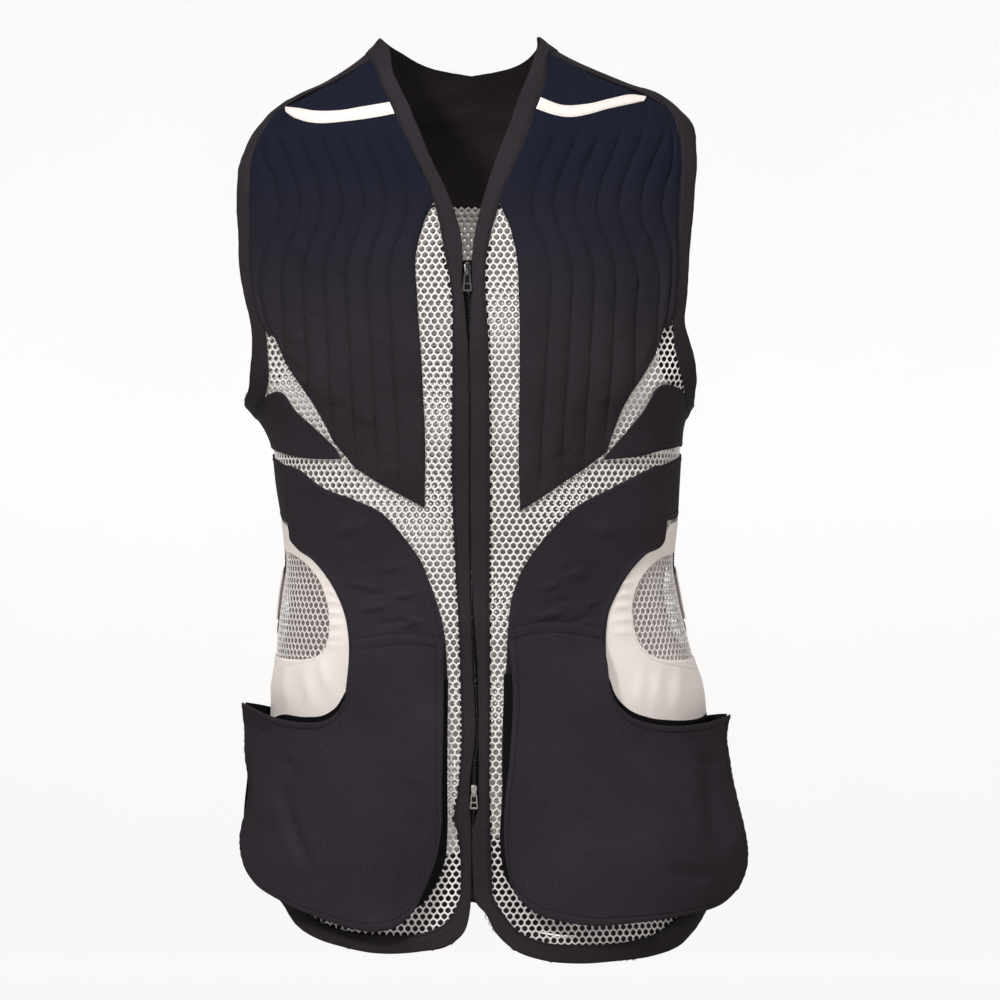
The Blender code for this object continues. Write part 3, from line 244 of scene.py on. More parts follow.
BACK_HEM = {
    "turn": (-98.4, -105, -112, -120, -130, -140, -150, -160, -170, -180, -190, -200, -212, -222, -232, -241, -249,
             -256, -261.6),
    "free": (648, 658, 674, 691, 705, 713, 715, 711, 701, 688, 701, 710, 715, 716, 714, 706, 693, 675, 659),
    "sewn": (636, 637.1, 638.8, 643.9, 654.6, 661, 661, 657, 649, 640, 634, 634, 646, 662.5, 657.4, 650.2, 646.9,
             646.4, 646),
}
ARM_FREE = {
    "left": {"turn": (90, 79.8, 76.3, 72.5, 70.6, 68.3, 66, 67, 69.5, 77, 89, 98,
                      106, 111, 113, 113, 112, 109, 102),
             "down": (27, 58, 85, 125, 160, 183, 206, 235, 251, 262, 267, 268,
                      260, 238, 200, 150, 110, 75, 45)},
    "right": {"turn": (90, 86, 79.5, 72.4, 68.6, 66, 65, 68, 71.5, 78, 89, 98,
                       106, 111, 113, 113, 112, 109, 102),
              "down": (18, 38, 59, 98, 138, 183, 201, 227, 249, 262, 267, 268,
                       260, 238, 200, 150, 110, 75, 42)},
}
ARM_UNDER = 11
LOWER_OUTER = {
    "left": ({"turn": (69, 71.8, 73.2, 72.4), "down": (319, 345, 362, 373)},
             {"out": (138, 124, 115, 104, 96, 93, 93, 93.5, 94),
              "down": (382, 392, 402, 419, 439, 458, 480, 540, 604)}),
    "right": ({"turn": (67, 69.8, 71.8, 71.6), "down": (319, 342, 358, 368)},
              {"out": (154, 138, 125, 114, 107, 105, 105, 105.5, 106),
               "down": (377, 388, 402, 420, 436, 449, 480, 540, 600)}),
}
NET_TOP = 96
HEM_CORNER = 661
UNDER_BINDING = {"net_arm": 1.5, "net_front": 3.5, "cloth": 2.0}
YOKE_FOOT = 112
SIDE_SEAM = {"front": 97.9, "back": 98.5}
FRONT_NET_WAIST = {"turn": (97.9, 88, 79), "down": (316, 336, 359)}
FRONT_NET_FOOT = {"left": {"turn": (39, 48.5, 56, 62, 66), "down": (598, 630, 652.5, 661, 671)},
                  "right": {"turn": (42, 50.5, 59, 66, 71), "down": (604, 638, 667, 677, 688)}}
BACK_NET_WAIST = {"turn": (98.5, 110, 122, 134.5), "down": (314, 327, 341, 358)}
BACK_NET_FOOT = {"turn": (134.5, 134.5), "down": (500, 706)}
HOLES = {"across": 5.8, "down": 4.85, "corner": 1.35, "yarn": 1.55, "thick": 0.9}
BACK_YARN = 4.3
# Soft ridges and troughs that every layer of the body follows: ends as seen from the front (x, down), half
# width and rise. The first table lies on the front, the second on the back.
FRONT_FOLDS = {
    "x": (-170, -148, -158, -118, -128, -92, 166, 150, 168, 128, 96, -70, 74, -150, 158, -100, 112),
    "down": (150, 190, 255, 262, 236, 250, 120, 175, 235, 262, 245, 300, 300, 318, 322, 395, 400),
    "to_x": (-150, -128, -120, -96, -62, -70, 158, 132, 120, 104, 70, -44, 48, -108, 120, -66, 70),
    "to_down": (235, 262, 292, 292, 286, 322, 215, 262, 290, 300, 318, 342, 345, 336, 345, 418, 424),
    "wide": (7, 8, 7, 6, 5.5, 6, 8, 8, 7, 6, 6, 6, 6, 7, 7, 7, 7),
    "rise": (1.6, -1.5, 1.5, -1.1, 0.9, -0.8, 1.4, -1.4, 1.3, -1.1, 0.8, 0.7, -0.7, 1.1, 1.0, 0.8, -0.8),
}
BACK_FOLDS = {
    "x": (-150, -128, -150, -60, -30, 20, 66, 120, 150, 142, -110, 104, -34, 30),
    "down": (150, 220, 300, 330, 470, 350, 315, 290, 215, 150, 480, 470, 140, 150),
    "to_x": (-120, -96, -84, -20, -44, 30, 30, 84, 118, 128, -122, 112, -26, 38),
    "to_down": (250, 300, 345, 372, 610, 470, 360, 340, 292, 240, 620, 600, 215, 235),
    "wide": (10, 9, 8, 9, 12, 11, 8, 8, 9, 10, 11, 12, 10, 9),
    "rise": (2.0, -1.8, 1.8, 1.4, 2.2, -2.0, 1.5, -1.6, 1.8, -1.7, -2.0, 2.2, -1.3, 1.4),
}


def leans(knots, values, tame):
    """Slope of a smooth curve at each knot; a tame curve never overshoots its values."""
    step = np.diff(knots)
    slope = np.diff(values) / step
    lean = np.empty(len(knots))
    lean[0], lean[-1] = slope[0], slope[-1]
    before, after = slope[:-1], slope[1:]
    if tame:
        same = before * after > 0
        lean[1:-1] = np.where(same, 2 * before * after / np.where(same, before + after, 1), 0)
    else:
        lean[1:-1] = (before * step[1:] + after * step[:-1]) / (step[1:] + step[:-1])
    return lean


def smooth(knots, values, at, tame=True):
    """Cubic through the values at the knots, read at any places."""
    knots, values = np.asarray(knots, float), np.asarray(values, float)
    lean = leans(knots, values, tame)
    at = np.clip(at, knots[0], knots[-1])
    i = np.clip(np.searchsorted(knots, at, side="right") - 1, 0, len(knots) - 2)
    step = knots[i + 1] - knots[i]
    t = (at - knots[i]) / step
    ends = values[i] * (1 + 2 * t) * (1 - t) ** 2 + values[i + 1] * t * t * (3 - 2 * t)
    return ends + step * (lean[i] * t * (1 - t) ** 2 - lean[i + 1] * t * t * (1 - t))


def column(form, name, down):
    return smooth(form["down"], form[name], down)


def ring_point(form, turn, down):
    """Superellipse ring at each height: reach = (|sin/half|^n + |cos/deep|^n)^(-1/n), with its own half
    width at each side and depth to the front and back."""
    turn, down = np.broadcast_arrays(np.asarray(turn, float), np.asarray(down, float))
    s, c = np.sin(np.radians(turn)), np.cos(np.radians(turn))
    half = np.where(s < 0, column(form, "left", down), column(form, "right", down))
    deep = np.where(c > 0, column(form, "front", down), column(form, "back", down))
    power = column(form, "square", down)
    reach = (np.abs(s / half) ** power + np.abs(c / deep) ** power) ** (-1 / power)
    return np.stack([reach * s, -reach * c, -down], axis=-1)


def along_and_across(turn, down, form=FORM):
    """How a point of the form moves with a millimetre of depth and with a degree of turn."""
    across = ring_point(form, turn + 0.2, down) - ring_point(form, turn - 0.2, down)
    along = ring_point(form, turn, down + 1.0) - ring_point(form, turn, down - 1.0)
    return along / 2, across / 0.4


def unit(rows):
    return rows / np.linalg.norm(rows, axis=-1, keepdims=True)


def run_of(points):
    """Length along a row of points, up to each of them."""
    return np.concatenate([[0], np.cumsum(np.linalg.norm(np.diff(points, axis=0), axis=1))])


def out_from(form, turn, down):
    """Unit normal of the form, out of the cloth."""
    return unit(np.cross(*along_and_across(turn, down, form)))


def folds(x, down, table):
    """Sum of soft ridges: rise * exp(-(distance to the line / half width)^2), faded to nothing at its ends."""
    rows = np.array([table[key] for key in ("x", "down", "to_x", "to_down", "wide", "rise")], float)
    total = np.zeros(np.shape(x))
    for x0, down0, x1, down1, wide, rise in rows.T:
        length = math.hypot(x1 - x0, down1 - down0)
        ahead = ((x - x0) * (x1 - x0) + (down - down0) * (down1 - down0)) / length
        aside = ((x - x0) * (down1 - down0) - (down - down0) * (x1 - x0)) / length
        share = np.clip((ahead + wide) / (length + 2 * wide), 0, 1)
        bow = aside + 0.06 * length * np.sin(np.pi * share)
        total += rise * np.exp(-(bow / wide) ** 2) * np.sin(np.pi * share) ** 2
    return total


def creases(grid, table, form=FORM):
    """Folds of a table at the points (turn, down) of a grid."""
    return folds(ring_point(form, grid[..., 0], grid[..., 1])[..., 0], grid[..., 1], table)


def drape(point):
    """How far the worn cloth stands off the even form: folds of the front and of the back, none at the zip."""
    x, y, down = point[..., 0], point[..., 1], -point[..., 2]
    front = np.clip(0.5 - y / 50, 0, 1)
    calm = np.clip((np.abs(x - 2) - 22) / 25, 0, 1)
    return front * calm * folds(x, down, FRONT_FOLDS) + (1 - front) * folds(x, down, BACK_FOLDS)


def lifted(form, grid, lift):
    """Points of the form at (turn, down), moved out along its normal by the lift and the drape."""
    turn, down = grid[..., 0], grid[..., 1]
    point = ring_point(form, turn, down)
    off = np.asarray(lift, float) + (drape(point) if form is FORM else 0)
    return point + out_from(form, turn, down) * off[..., None]


def seen(form, side, out, down):
    """Turn of the point of the front that is seen at that distance from the zip's plane."""
    out, down = np.asarray(out, float), np.asarray(down, float)
    half, deep = column(form, side, down), column(form, "front", down)
    power = column(form, "square", down)
    share = np.clip(np.abs(out) / half, 0, 1)
    return np.degrees(np.arctan2(out, deep * (1 - share ** power) ** (1 / power)))


def rows_of(form, side, stretches):
    """Control points (turn, down) of a line whose stretches are given by turn or as seen from the front."""
    if isinstance(stretches, dict):
        stretches = (stretches,)
    rows = []
    for stretch in stretches:
        down = np.array(stretch["down"], float)
        turn = stretch["turn"] if "turn" in stretch else seen(form, side, stretch["out"], down)
        rows.append(np.stack([np.asarray(turn, float), down], axis=1))
    return np.concatenate(rows)


def lengths(line, form=FORM):
    """Length on the form up to each point of a line."""
    return run_of(ring_point(form, line[:, 0], line[:, 1]))


def beside(side, line, gap):
    """The line moved aside in the cloth: one that runs down moves away from the zip."""
    turn, down = line[:, 0] * SIDES[side], line[:, 1]
    along, across = along_and_across(turn, down)
    ahead = np.gradient(ring_point(FORM, turn, down), axis=0)
    aside = np.cross(np.cross(along, across), ahead) * SIDES[side]
    aside *= gap / np.linalg.norm(aside, axis=1, keepdims=True)
    basis = np.stack([across * SIDES[side], along], axis=-1)
    flipped = np.swapaxes(basis, 1, 2)
    return line + np.linalg.solve(flipped @ basis, (flipped @ aside[..., None]))[..., 0]


def at_shares(line, shares):
    """Points of a line at shares of its length."""
    along = lengths(line)
    at = np.asarray(shares) * along[-1]
    return np.stack([np.interp(at, along, line[:, k]) for k in (0, 1)], axis=1)


def drawn(rows):
    """A smooth line through the rows, with close points."""
    rows = np.asarray(rows, float)
    knots = lengths(rows)
    fine = np.linspace(0, knots[-1], 24 * len(rows))
    return np.stack([smooth(knots, rows[:, k], fine, tame=False) for k in (0, 1)], axis=1)


def loop(rows, first=0, last=None):
    """Part of a smooth closed line through the rows, from one row on to another."""
    lap = len(rows)
    last = first + lap if last is None else last
    rounds = np.concatenate([rows, rows, rows])
    knots = lengths(rounds)
    fine = np.linspace(knots[lap + first], knots[lap + last], 24 * (last - first))
    return np.stack([smooth(knots, rounds[:, k], fine, tame=False) for k in (0, 1)], axis=1)


def line_of(side, stretches, form=FORM):
    return drawn(rows_of(form, side, stretches))


def joined(*lines):
    """One line from several, without the points that repeat where they meet."""
    line = np.concatenate(lines)
    apart = np.abs(np.diff(line, axis=0)).max(axis=1) > 1e-6
    return line[np.concatenate([[True], apart])]


def arm_line(side, table, first, last, gap):
    """Part of an edge of the armhole band, moved into the cloth beside it."""
    return beside(side, loop(rows_of(FORM, side, table[side]), first, last), -gap)


ARC_STEP = {"down": 4.0, "turn": 1.0, "reach": 2.0}
ARC_DOWN = np.arange(-36, 721, ARC_STEP["down"])
ARC_TURN = np.arange(-300, 301, ARC_STEP["turn"])
ARC_REACH = np.arange(-700, 701, ARC_STEP["reach"])
ring_table = ring_point(FORM, ARC_TURN[None], ARC_DOWN[:, None])
arc_table = np.cumsum(np.linalg.norm(np.diff(ring_table, axis=1, prepend=ring_table[:, :1]), axis=-1), axis=1)
arc_table -= arc_table[:, ARC_TURN == 0]


def read(table, across, down, columns):
    """Value of a table at any place, straight between its rows, by depth, and its columns."""
    i = np.clip((down - ARC_DOWN[0]) / ARC_STEP["down"], 0, len(ARC_DOWN) - 1.001)
    j = np.clip((across - columns[0]) / (columns[1] - columns[0]), 0, len(columns) - 1.001)
    i0, j0 = i.astype(int), j.astype(int)
    p, q = i - i0, j - j0
    return ((1 - p) * ((1 - q) * table[i0, j0] + q * table[i0, j0 + 1])
            + p * ((1 - q) * table[i0 + 1, j0] + q * table[i0 + 1, j0 + 1]))


def around(turn, down):
    """Length round the body from the front centre to a turn."""
    return read(arc_table, turn, down, ARC_TURN)


def within(points, outline):
    """Which points lie inside a closed outline: an upward ray crosses it an odd number of times."""
    a, b = outline, np.roll(outline, -1, axis=0)
    x, y = points[:, None, 0], points[:, None, 1]
    spans = (a[:, 0] <= x) != (b[:, 0] <= x)
    wide = np.where(a[:, 0] == b[:, 0], 1, b[:, 0] - a[:, 0])
    return (spans & (y < a[:, 1] + (x - a[:, 0]) / wide * (b[:, 1] - a[:, 1]))).sum(axis=1) % 2 == 1


def added(name, points, faces, finish, nodes=(), uv=None, sharp=None, body="vest"):
    """A finished piece from points in millimetres, with a map in metres of cloth if given. Its object sits at
    the origin and rides on a body."""
    mesh = bpy.data.meshes.new(name)
    mesh.from_pydata((points * MM).tolist(), [], faces)
    if uv is not None:
        corner = np.empty(len(mesh.loops), int)
        mesh.loops.foreach_get("vertex_index", corner)
        mesh.uv_layers.new(name="cloth").data.foreach_set("uv", (uv[corner] * MM).ravel())
    mesh.shade_smooth()
    if sharp is not None:
        mesh.set_sharp_from_angle(angle=math.radians(sharp))
    mesh.materials.append(finish.material)
    made = bpy.data.objects.new(name, mesh)
    bpy.context.collection.objects.link(made)
    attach(made, body)
    if nodes:
        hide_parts(*nodes)
    return made


def net(name, outline, start, finish, nodes, lean=0.0, lift=0.5, yarn=HOLES["yarn"], sides=2):
    """Knitted net: rows of six-sided cells, every second row half a cell on. Each yarn is a lens: its
    middle line runs along the cells' edges, above and below, and meets at the holes' rims, which have one
    or two sides for each side of the cell."""
    wide, tall, corner, thick = (HOLES[key] for key in ("across", "down", "corner", "thick"))
    low, high = outline.min(axis=0), outline.max(axis=0)
    side = around(outline[:, 0], outline[:, 1]) - around(start + 0 * outline[:, 1], outline[:, 1])
    rows = np.arange(int(low[1] / tall) - 2, int(high[1] / tall) + 3)
    columns = np.arange(int(side.min() / wide) - 3, int(side.max() / wide) + 4)
    j, i = (a.ravel() for a in np.meshgrid(rows, columns, indexing="ij"))
    i = i - columns[0] + 2
    j = j - rows[0] + 2

    def spot(i, j, dx, dy):
        """Place on the cloth of a point of a cell, as length round from the start and depth."""
        return np.stack([(i + columns[0] - 2 + 0.5 * (j % 2)) * wide + dx, (j + rows[0] - 2) * tall + dy], axis=-1)

    def on_body(flat):
        reach, down = flat[..., 0] + lean * (flat[..., 1] - low[1]), flat[..., 1]
        return np.stack([read(turn_table, reach + around(start + 0 * down, down), down, ARC_REACH), down], axis=-1)

    keep = within(on_body(spot(i, j, 0, 0)), outline)
    i, j = i[keep], j[keep]
    odd = j % 2
    top = tall - corner
    # Each corner of a cell belongs to a cell as its top (kind 0) or its foot (kind 1)
    kinds = ((0, i, j), (1, i + odd, j - 1), (0, i + odd, j + 1), (1, i, j), (0, i + odd - 1, j + 1),
             (1, i + odd - 1, j - 1))
    many = 4096
    corners = np.stack([(kind * many + b) * many + a for kind, a, b in kinds], axis=1)
    used, ring = np.unique(corners, return_inverse=True)
    ring = ring.reshape(corners.shape)
    kind, b, a = used // many ** 2, used // many % many, used % many
    middle = spot(a, b, 0, np.where(kind == 0, -top, top))
    hexagon = np.array([(0, -top), (wide / 2, -corner), (wide / 2, corner), (0, top), (-wide / 2, corner),
                        (-wide / 2, -corner)])
    halfway = (hexagon + np.roll(hexagon, -1, axis=0)) / 2
    slant = wide / 2 * top / math.hypot(wide / 2, top - corner)
    hole = hexagon * (1 - yarn / 2 / slant) * (0.96 if sides == 2 else 1)
    halfway *= 1 - yarn / 2 / np.array([slant, wide / 2, slant, slant, wide / 2, slant])[:, None]
    hole = np.stack([hole, halfway], axis=1).reshape(-1, 2) if sides == 2 else hole
    rims = spot(i[:, None], j[:, None], hole[:, 0], hole[:, 1])
    flat = np.concatenate([middle, middle, rims.reshape(-1, 2)])
    total = len(used)
    rim = 2 * total + np.arange(len(i) * 6 * sides).reshape(-1, 6 * sides)
    ahead, rim_ahead = np.roll(ring, -1, axis=1), np.roll(rim, -1, axis=1)
    near, far = rim[:, sides - 1::sides], rim_ahead[:, sides - 1::sides]
    front = np.stack([ring, ahead, far, near], axis=-1).reshape(-1, 4)
    back = np.stack([near, far, ahead + total, ring + total], axis=-1).reshape(-1, 4)
    slivers = []
    if sides == 2:
        slivers = [np.stack([ring, near, rim[:, ::2]], axis=-1).reshape(-1, 3),
                   np.stack([rim[:, ::2], near, ring + total], axis=-1).reshape(-1, 3)]
    pairs = np.stack([ring, ahead], axis=-1).reshape(-1, 2)
    key = pairs.min(axis=1) * total + pairs.max(axis=1)
    _, place, times = np.unique(key, return_index=True, return_counts=True)
    edge = pairs[place[times == 1]]
    border = np.stack([edge[:, 1], edge[:, 0], edge[:, 0] + total, edge[:, 1] + total], axis=-1)
    high = np.repeat([lift + thick / 2, lift - thick / 2, lift], [total, total, rim.size])
    points = lifted(FORM, on_body(flat), high)
    faces = np.concatenate([front, back, border])
    a, b, c = (points[faces[:, k]] for k in range(3))
    turned = -1 if (a * np.cross(b, c)).sum() < 0 else 1
    joined_faces = [face for group in (faces, *slivers) for face in group[:, ::turned].tolist()]
    return added(name, points, joined_faces, finish, nodes, flat)


turn_table = np.stack([np.interp(ARC_REACH, row, ARC_TURN) for row in arc_table])


def knitted(name, dark, light):
    """Fluffy white yarn, clouded where the light catches its fibres."""
    made = Finish(name, dark, 0.7, Sheen_Weight=0.15, Sheen_Roughness=0.5, Specular_IOR_Level=0.25)
    fluff = made.clouded(900.0, dark, light, 3.0, 0.6)
    made.relief(fluff, 0.00005, 0.6)
    return made


open_knit = knitted("open net yarn", (0.82, 0.77, 0.745), (0.93, 0.895, 0.875))
# Painted shade: the window net's yarn is the white yarn made darker, for the shade at the sides of the vest.
side_knit_painted_shade = knitted("side net yarn, painted shade", (0.66, 0.61, 0.59), (0.78, 0.735, 0.715))
# Painted shade: the back net's yarn is the white yarn made much darker, for the shade inside the vest.
close_knit_painted_shade = knitted("close net yarn, painted shade", (0.50, 0.455, 0.43), (0.61, 0.56, 0.53))

for side, sign in SIDES.items():
    arm = arm_line(side, ARM_FREE, 2, ARM_UNDER, UNDER_BINDING["net_arm"])
    arm = arm[(arm[:, 1] > NET_TOP) & (arm[:, 0] < SIDE_SEAM["front"])]
    inner = beside(side, line_of(side, NECK_FREE[side]), UNDER_BINDING["net_front"])
    inner = inner[(inner[:, 0] < 60) & (inner[:, 1] > NET_TOP - 4) & (inner[:, 1] < HEM_CORNER - 3)]
    boundary = rows_of(FORM, side, LOWER_OUTER[side][1])[:-1]
    corner = np.array([[SIDE_SEAM["front"], FRONT_NET_WAIST["down"][0]]])
    waist = drawn(np.concatenate([rows_of(FORM, side, FRONT_NET_WAIST), boundary[:1]]))
    fall = drawn(np.concatenate([boundary, rows_of(FORM, side, FRONT_NET_FOOT[side])[:1]]))
    flare = drawn(rows_of(FORM, side, FRONT_NET_FOOT[side]))
    hem = drawn(rows_of(FORM, side, HEM_FREE[side][0])[2:] + (0, -2))
    outline = joined(inner, hem, flare[::-1], fall[::-1], waist[::-1], corner, arm[::-1])
    net(f"net_front_{side}", outline * (sign, 1), 0.0, open_knit, (f"front_net_{side}",),
                           lean=0.02 * sign)

edges = []
for side in SIDES:
    arm = arm_line(side, ARM_FREE, ARM_UNDER, 17, UNDER_BINDING["net_arm"])[::-1]
    arm = arm[(arm[:, 1] > YOKE_FOOT - 12) & (arm[:, 0] > SIDE_SEAM["back"])]
    edges.append(joined(arm, line_of(side, BACK_NET_WAIST), line_of(side, BACK_NET_FOOT)))
left, right = edges[0] * (-1, 1), edges[1] - (360, 0)
hem = drawn(np.stack([BACK_HEM["turn"], BACK_HEM["free"]], axis=1).astype(float) - (0, 2))
hem = hem[(hem[:, 0] < left[-1, 0]) & (hem[:, 0] > right[-1, 0])]
back_piece = net("net_back", joined(left, hem, right[::-1]), -180.0, close_knit_painted_shade, ("back_net",), yarn=BACK_YARN,
                 sides=1)


# ---- Chest pads ----
# A pad of quilted black twill, bluer and darker towards its top, lies on each side of the chest, from the
# shoulder seam to a point beside the zip. Seven sewn lines that bend at the chest hold its thin wadding; its edge is
# folded under.
NECK_SEWN = {
    "left": ({"turn": (180, 150, 120, 92), "down": (9, 3, -11, -20)},
             {"out": (84, 66, 49, 27, 21, 15, 14, 14, 12, 8.5, 8, 8, 11, 13, 10, 7.5, 7.5),
              "down": (-16, 22, 63, 115, 146, 178, 227, 346, 392, 460, 477, 562, 588, 600, 612, 634, 663)}),
    "right": ({"turn": (180, 150, 120, 92), "down": (9, 3, -11, -21)},
              {"out": (65, 56, 43, 22, 14, 15, 16, 16, 16, 17, 18),
               "down": (-20, 22, 62, 114, 146, 227, 346, 498, 600, 630, 663)}),
}
ARM_SEWN = {
    "left": {"turn": (90, 84, 76.8, 73.8, 69.8, 67, 65, 62, 61.8, 62.5, 66.5, 77, 89, 98,
                      110, 117, 119, 119, 118, 115, 105),
             "down": (18, 27, 52, 72, 112, 160, 183, 209, 229, 248, 262, 272, 278, 280,
                      270, 243, 200, 150, 110, 72, 40)},
    "right": {"turn": (90, 82, 77, 71.5, 66.5, 63.6, 61.8, 62.3, 65, 70, 78, 89, 98,
                       110, 117, 119, 119, 118, 115, 105),
              "down": (9, 22, 43, 72, 112, 161, 198, 220, 243, 258, 271, 278, 280,
                       270, 243, 200, 150, 110, 70, 36)},
}
ARM_SEWN_UNDER = 12
SHOULDER_SEAM = {
    "left": {"turn": (75.5, 75, 76, 77, 83), "down": (-12, -1, 8, 18, 28), "out": (81, 99, 114, 131, 157)},
    "right": {"turn": (73, 72, 73, 75, 81), "down": (-18, -6, 3, 12, 23), "out": (63, 88, 105, 125, 148)},
}
PAD_LEAVES_NECK = 106
PAD_INNER = {
    "left": {"out": (38, 43, 42, 38, 36, 36), "down": (127, 148, 186, 248, 286, 353)},
    "right": {"out": (32, 37, 39, 39, 40), "down": (128, 150, 186, 330, 355)},
}
PAD_LOWER = {
    "left": {"out": (36, 52, 83, 101, 107, 118, 126, 139, 151, 161),
             "down": (353, 344, 327, 313, 303, 280, 266, 251, 230, 214)},
    "right": {"out": (40, 55, 83, 105, 111, 118, 128, 140, 150, 159),
              "down": (355, 346, 326, 313, 304, 280, 260, 245, 225, 208)},
}
QUILT = {"first": 50, "step": 17.3, "lines": 7, "rise": 2.3, "lift": 2.7, "thick": 1.1}
QUILT_LEAN = {"down": (44, 113, 162, 306), "more_out": (22, 0, 14, 6.5)}
QUILT_DOWN = (46, 62, 80, 97, 113, 129, 145, 162, 200, 250, 300, 340)
# Room that each line leaves for each line further out: degrees of turn below, share of the top edge above
QUILT_ROOM = {"turn": 1.8, "share": 0.07}
CHANNEL = (0, 0.035, 0.1, 0.22, 0.38, 0.56, 0.74, 0.88, 0.955)
PAD_WRINKLES = {
    "x": (-158, -150, -142, -150, -132, -116, -92, -78, -70, -140, 142, 120, 84, 132, 150, 100),
    "down": (222, 236, 246, 212, 196, 268, 276, 312, 322, 130, 168, 262, 306, 214, 120, 60),
    "to_x": (-138, -126, -118, -124, -108, -96, -72, -52, -50, -128, 122, 96, 64, 112, 138, 84),
    "to_down": (230, 244, 254, 218, 204, 272, 283, 317, 326, 160, 180, 268, 316, 224, 150, 78),
    "wide": (2.3, 2.2, 2.3, 2.4, 2.6, 2.3, 2.5, 2.4, 2.2, 3.4, 3.0, 2.8, 2.5, 2.8, 3.4, 3.4),
    "rise": (2.11, -1.93, 1.93, 1.76, -1.58, -1.76, 1.93, -1.76, 1.58, 1.4, 1.58, 1.58, -1.76, -1.58, 1.4, 1.23),
}
STITCH = {"long": 1.9, "pitch": 2.8, "radius": 0.33, "bed": 0.02}
# Lift of each cloth's outer side off the form; its seams lie a bed's height above it
LIFT = {"stripe": 4.1, "yoke": 2.8, "strip": 2.7, "lower": 2.7, "waist": 2.6, "lining": 1.3, "panel": 2.6,
        "pocket": 1.2, "pocket_back": 3.7, "facing": -0.25, "zip_tape": -0.9, "tape": 4.0, "tab": 5.5}


def woven(name, dark, light, roughness, lint=0.0, wale=0.0009, depth=0.000022):
    """Twill: fine slanting wales crossed by the picks, clouded by wear, with a little lint caught on it."""
    made = Finish(name, dark, roughness, Specular_IOR_Level=0.05)
    cloth_map = made.place("UV")
    u, v = made.part(cloth_map, 0), made.part(cloth_map, 1)
    wobble = made.noise(cloth_map, 260.0, 2.0) * 0.0006
    wales = ((u + v + wobble) * (2 * math.pi / wale)).sine()
    picks = ((v - u * 0.08 + wobble) * (2 * math.pi / (0.55 * wale))).sine()
    cloud = made.noise(cloth_map, 9.0, 4.0, 0.6).step(0.3, 0.7)
    yarns = made.noise(cloth_map, 1150.0, 3.0, 0.75)
    grain = made.noise(cloth_map, 620.0, 4.0, 0.8).step(0.28, 0.72)
    tone = (cloud * 0.35 + grain * 0.65).step(0.14, 0.86)
    made.colour = made.mix(tone, dark, light)
    if lint:
        speck = made.noise(cloth_map, 420.0, 5.0, 0.75).step(0.79, 0.83) * lint
        made.colour = made.mix(speck, made.colour, (0.12, 0.115, 0.11))
    made.set("Base Color", made.colour)
    made.relief(wales * 0.5 + picks * 0.3 + yarns * 0.8, depth, 0.8)
    return made


def walled(outer, inner, closed=False):
    """Points and outward faces of the wall between two grids of points. A closed one joins its end rows."""
    rows, across = outer.shape[:2]
    index = np.arange(rows * across).reshape(rows, across)
    if closed:
        index = np.concatenate([index, index[:1]])
    below = index + rows * across
    rims = [(index[:, 0], below[:, 0]), (below[:, -1], index[:, -1])]
    if not closed:
        rims += [(below[0], index[0]), (index[-1], below[-1])]
    sheets = [lattice(index), lattice(below)[:, ::-1]]
    sheets += [np.stack([one[:-1], one[1:], other[1:], other[:-1]], axis=-1) for one, other in rims]
    points, faces = np.concatenate([outer.reshape(-1, 3), inner.reshape(-1, 3)]), np.concatenate(sheets)
    volume = sum((points[faces[:, 0]] * np.cross(points[faces[:, k]], points[faces[:, k + 1]])).sum() for k in (1, 2))
    return points, (faces[:, ::-1] if volume < 0 else faces).tolist()


def cloth(name, grid, lift, thick, finish, nodes=(), form=FORM, closed=False, roll=0.4):
    """A wall of cloth on the form: its outer side lies at the lift, its inner side a thickness below, and
    the outer points of a free edge sink a little, as a folded edge does. A closed one joins its ends."""
    rows, across = grid.shape[:2]
    lift = np.broadcast_to(np.asarray(lift, float), (rows, across))
    high = lift.copy()
    high[:, (0, -1)] -= roll
    if not closed:
        high[(0, -1), 1:-1] -= roll
    points, faces = walled(lifted(form, grid, high), lifted(form, grid, lift - thick), closed)
    flat = np.stack([around(grid[..., 0], grid[..., 1]), grid[..., 1]], axis=-1).reshape(-1, 2)
    return added(name, points, faces, finish, nodes, np.concatenate([flat, flat]), sharp=50)


def seam_lift(name):
    return LIFT[name] + STITCH["bed"]


def stitches(name, lines, finish, form=FORM, pitch=STITCH["pitch"], long=STITCH["long"]):
    """Rows of sewn stitches: each is a short rod, thick in the middle, whose two tips go down into the cloth.
    A line is its places (turn, down) and its lift."""
    radius = STITCH["radius"]
    rods = []
    for line, lift in lines:
        points = lifted(form, line, np.asarray(lift, float) + 0 * line[:, 0])
        normal = out_from(form, line[:, 0], line[:, 1])
        run = run_of(points)
        at = np.arange(pitch / 2, run[-1], pitch)
        middle, up, ahead = (np.stack([np.interp(at, run, rows[:, k]) for k in range(3)], axis=1)
                             for rows in (points, normal, np.gradient(points, axis=0)))
        ahead = unit(ahead)
        aside = unit(np.cross(up, ahead))
        tips = [middle + ahead * (k * long / 2) - up * 0.35 for k in (-1, 1)]
        ring = [middle + ahead * (k * long * 0.3) + up * (0.08 + radius * s) + aside * radius * 1.25 * c
                for k in (-1, 1) for s, c in ((1, 0), (0, 1), (-1, 0), (0, -1))]
        rods.append(np.stack([*tips, *ring], axis=1))
    rods = np.concatenate(rods)
    ends = [(0, 2 + k, 2 + (k + 1) % 4, 2 + (k + 1) % 4) for k in range(4)]
    ends += [(1, 6 + (k + 1) % 4, 6 + k, 6 + k) for k in range(4)]
    sides = [(2 + k, 6 + k, 6 + (k + 1) % 4, 2 + (k + 1) % 4) for k in range(4)]
    start = np.arange(len(rods))[:, None, None] * 10
    tris = (start + np.array(ends)[None, :, :3]).reshape(-1, 3).tolist()
    quads = (start + np.array(sides)[None]).reshape(-1, 4).tolist()
    return added(name, rods.reshape(-1, 3), tris + quads, finish)


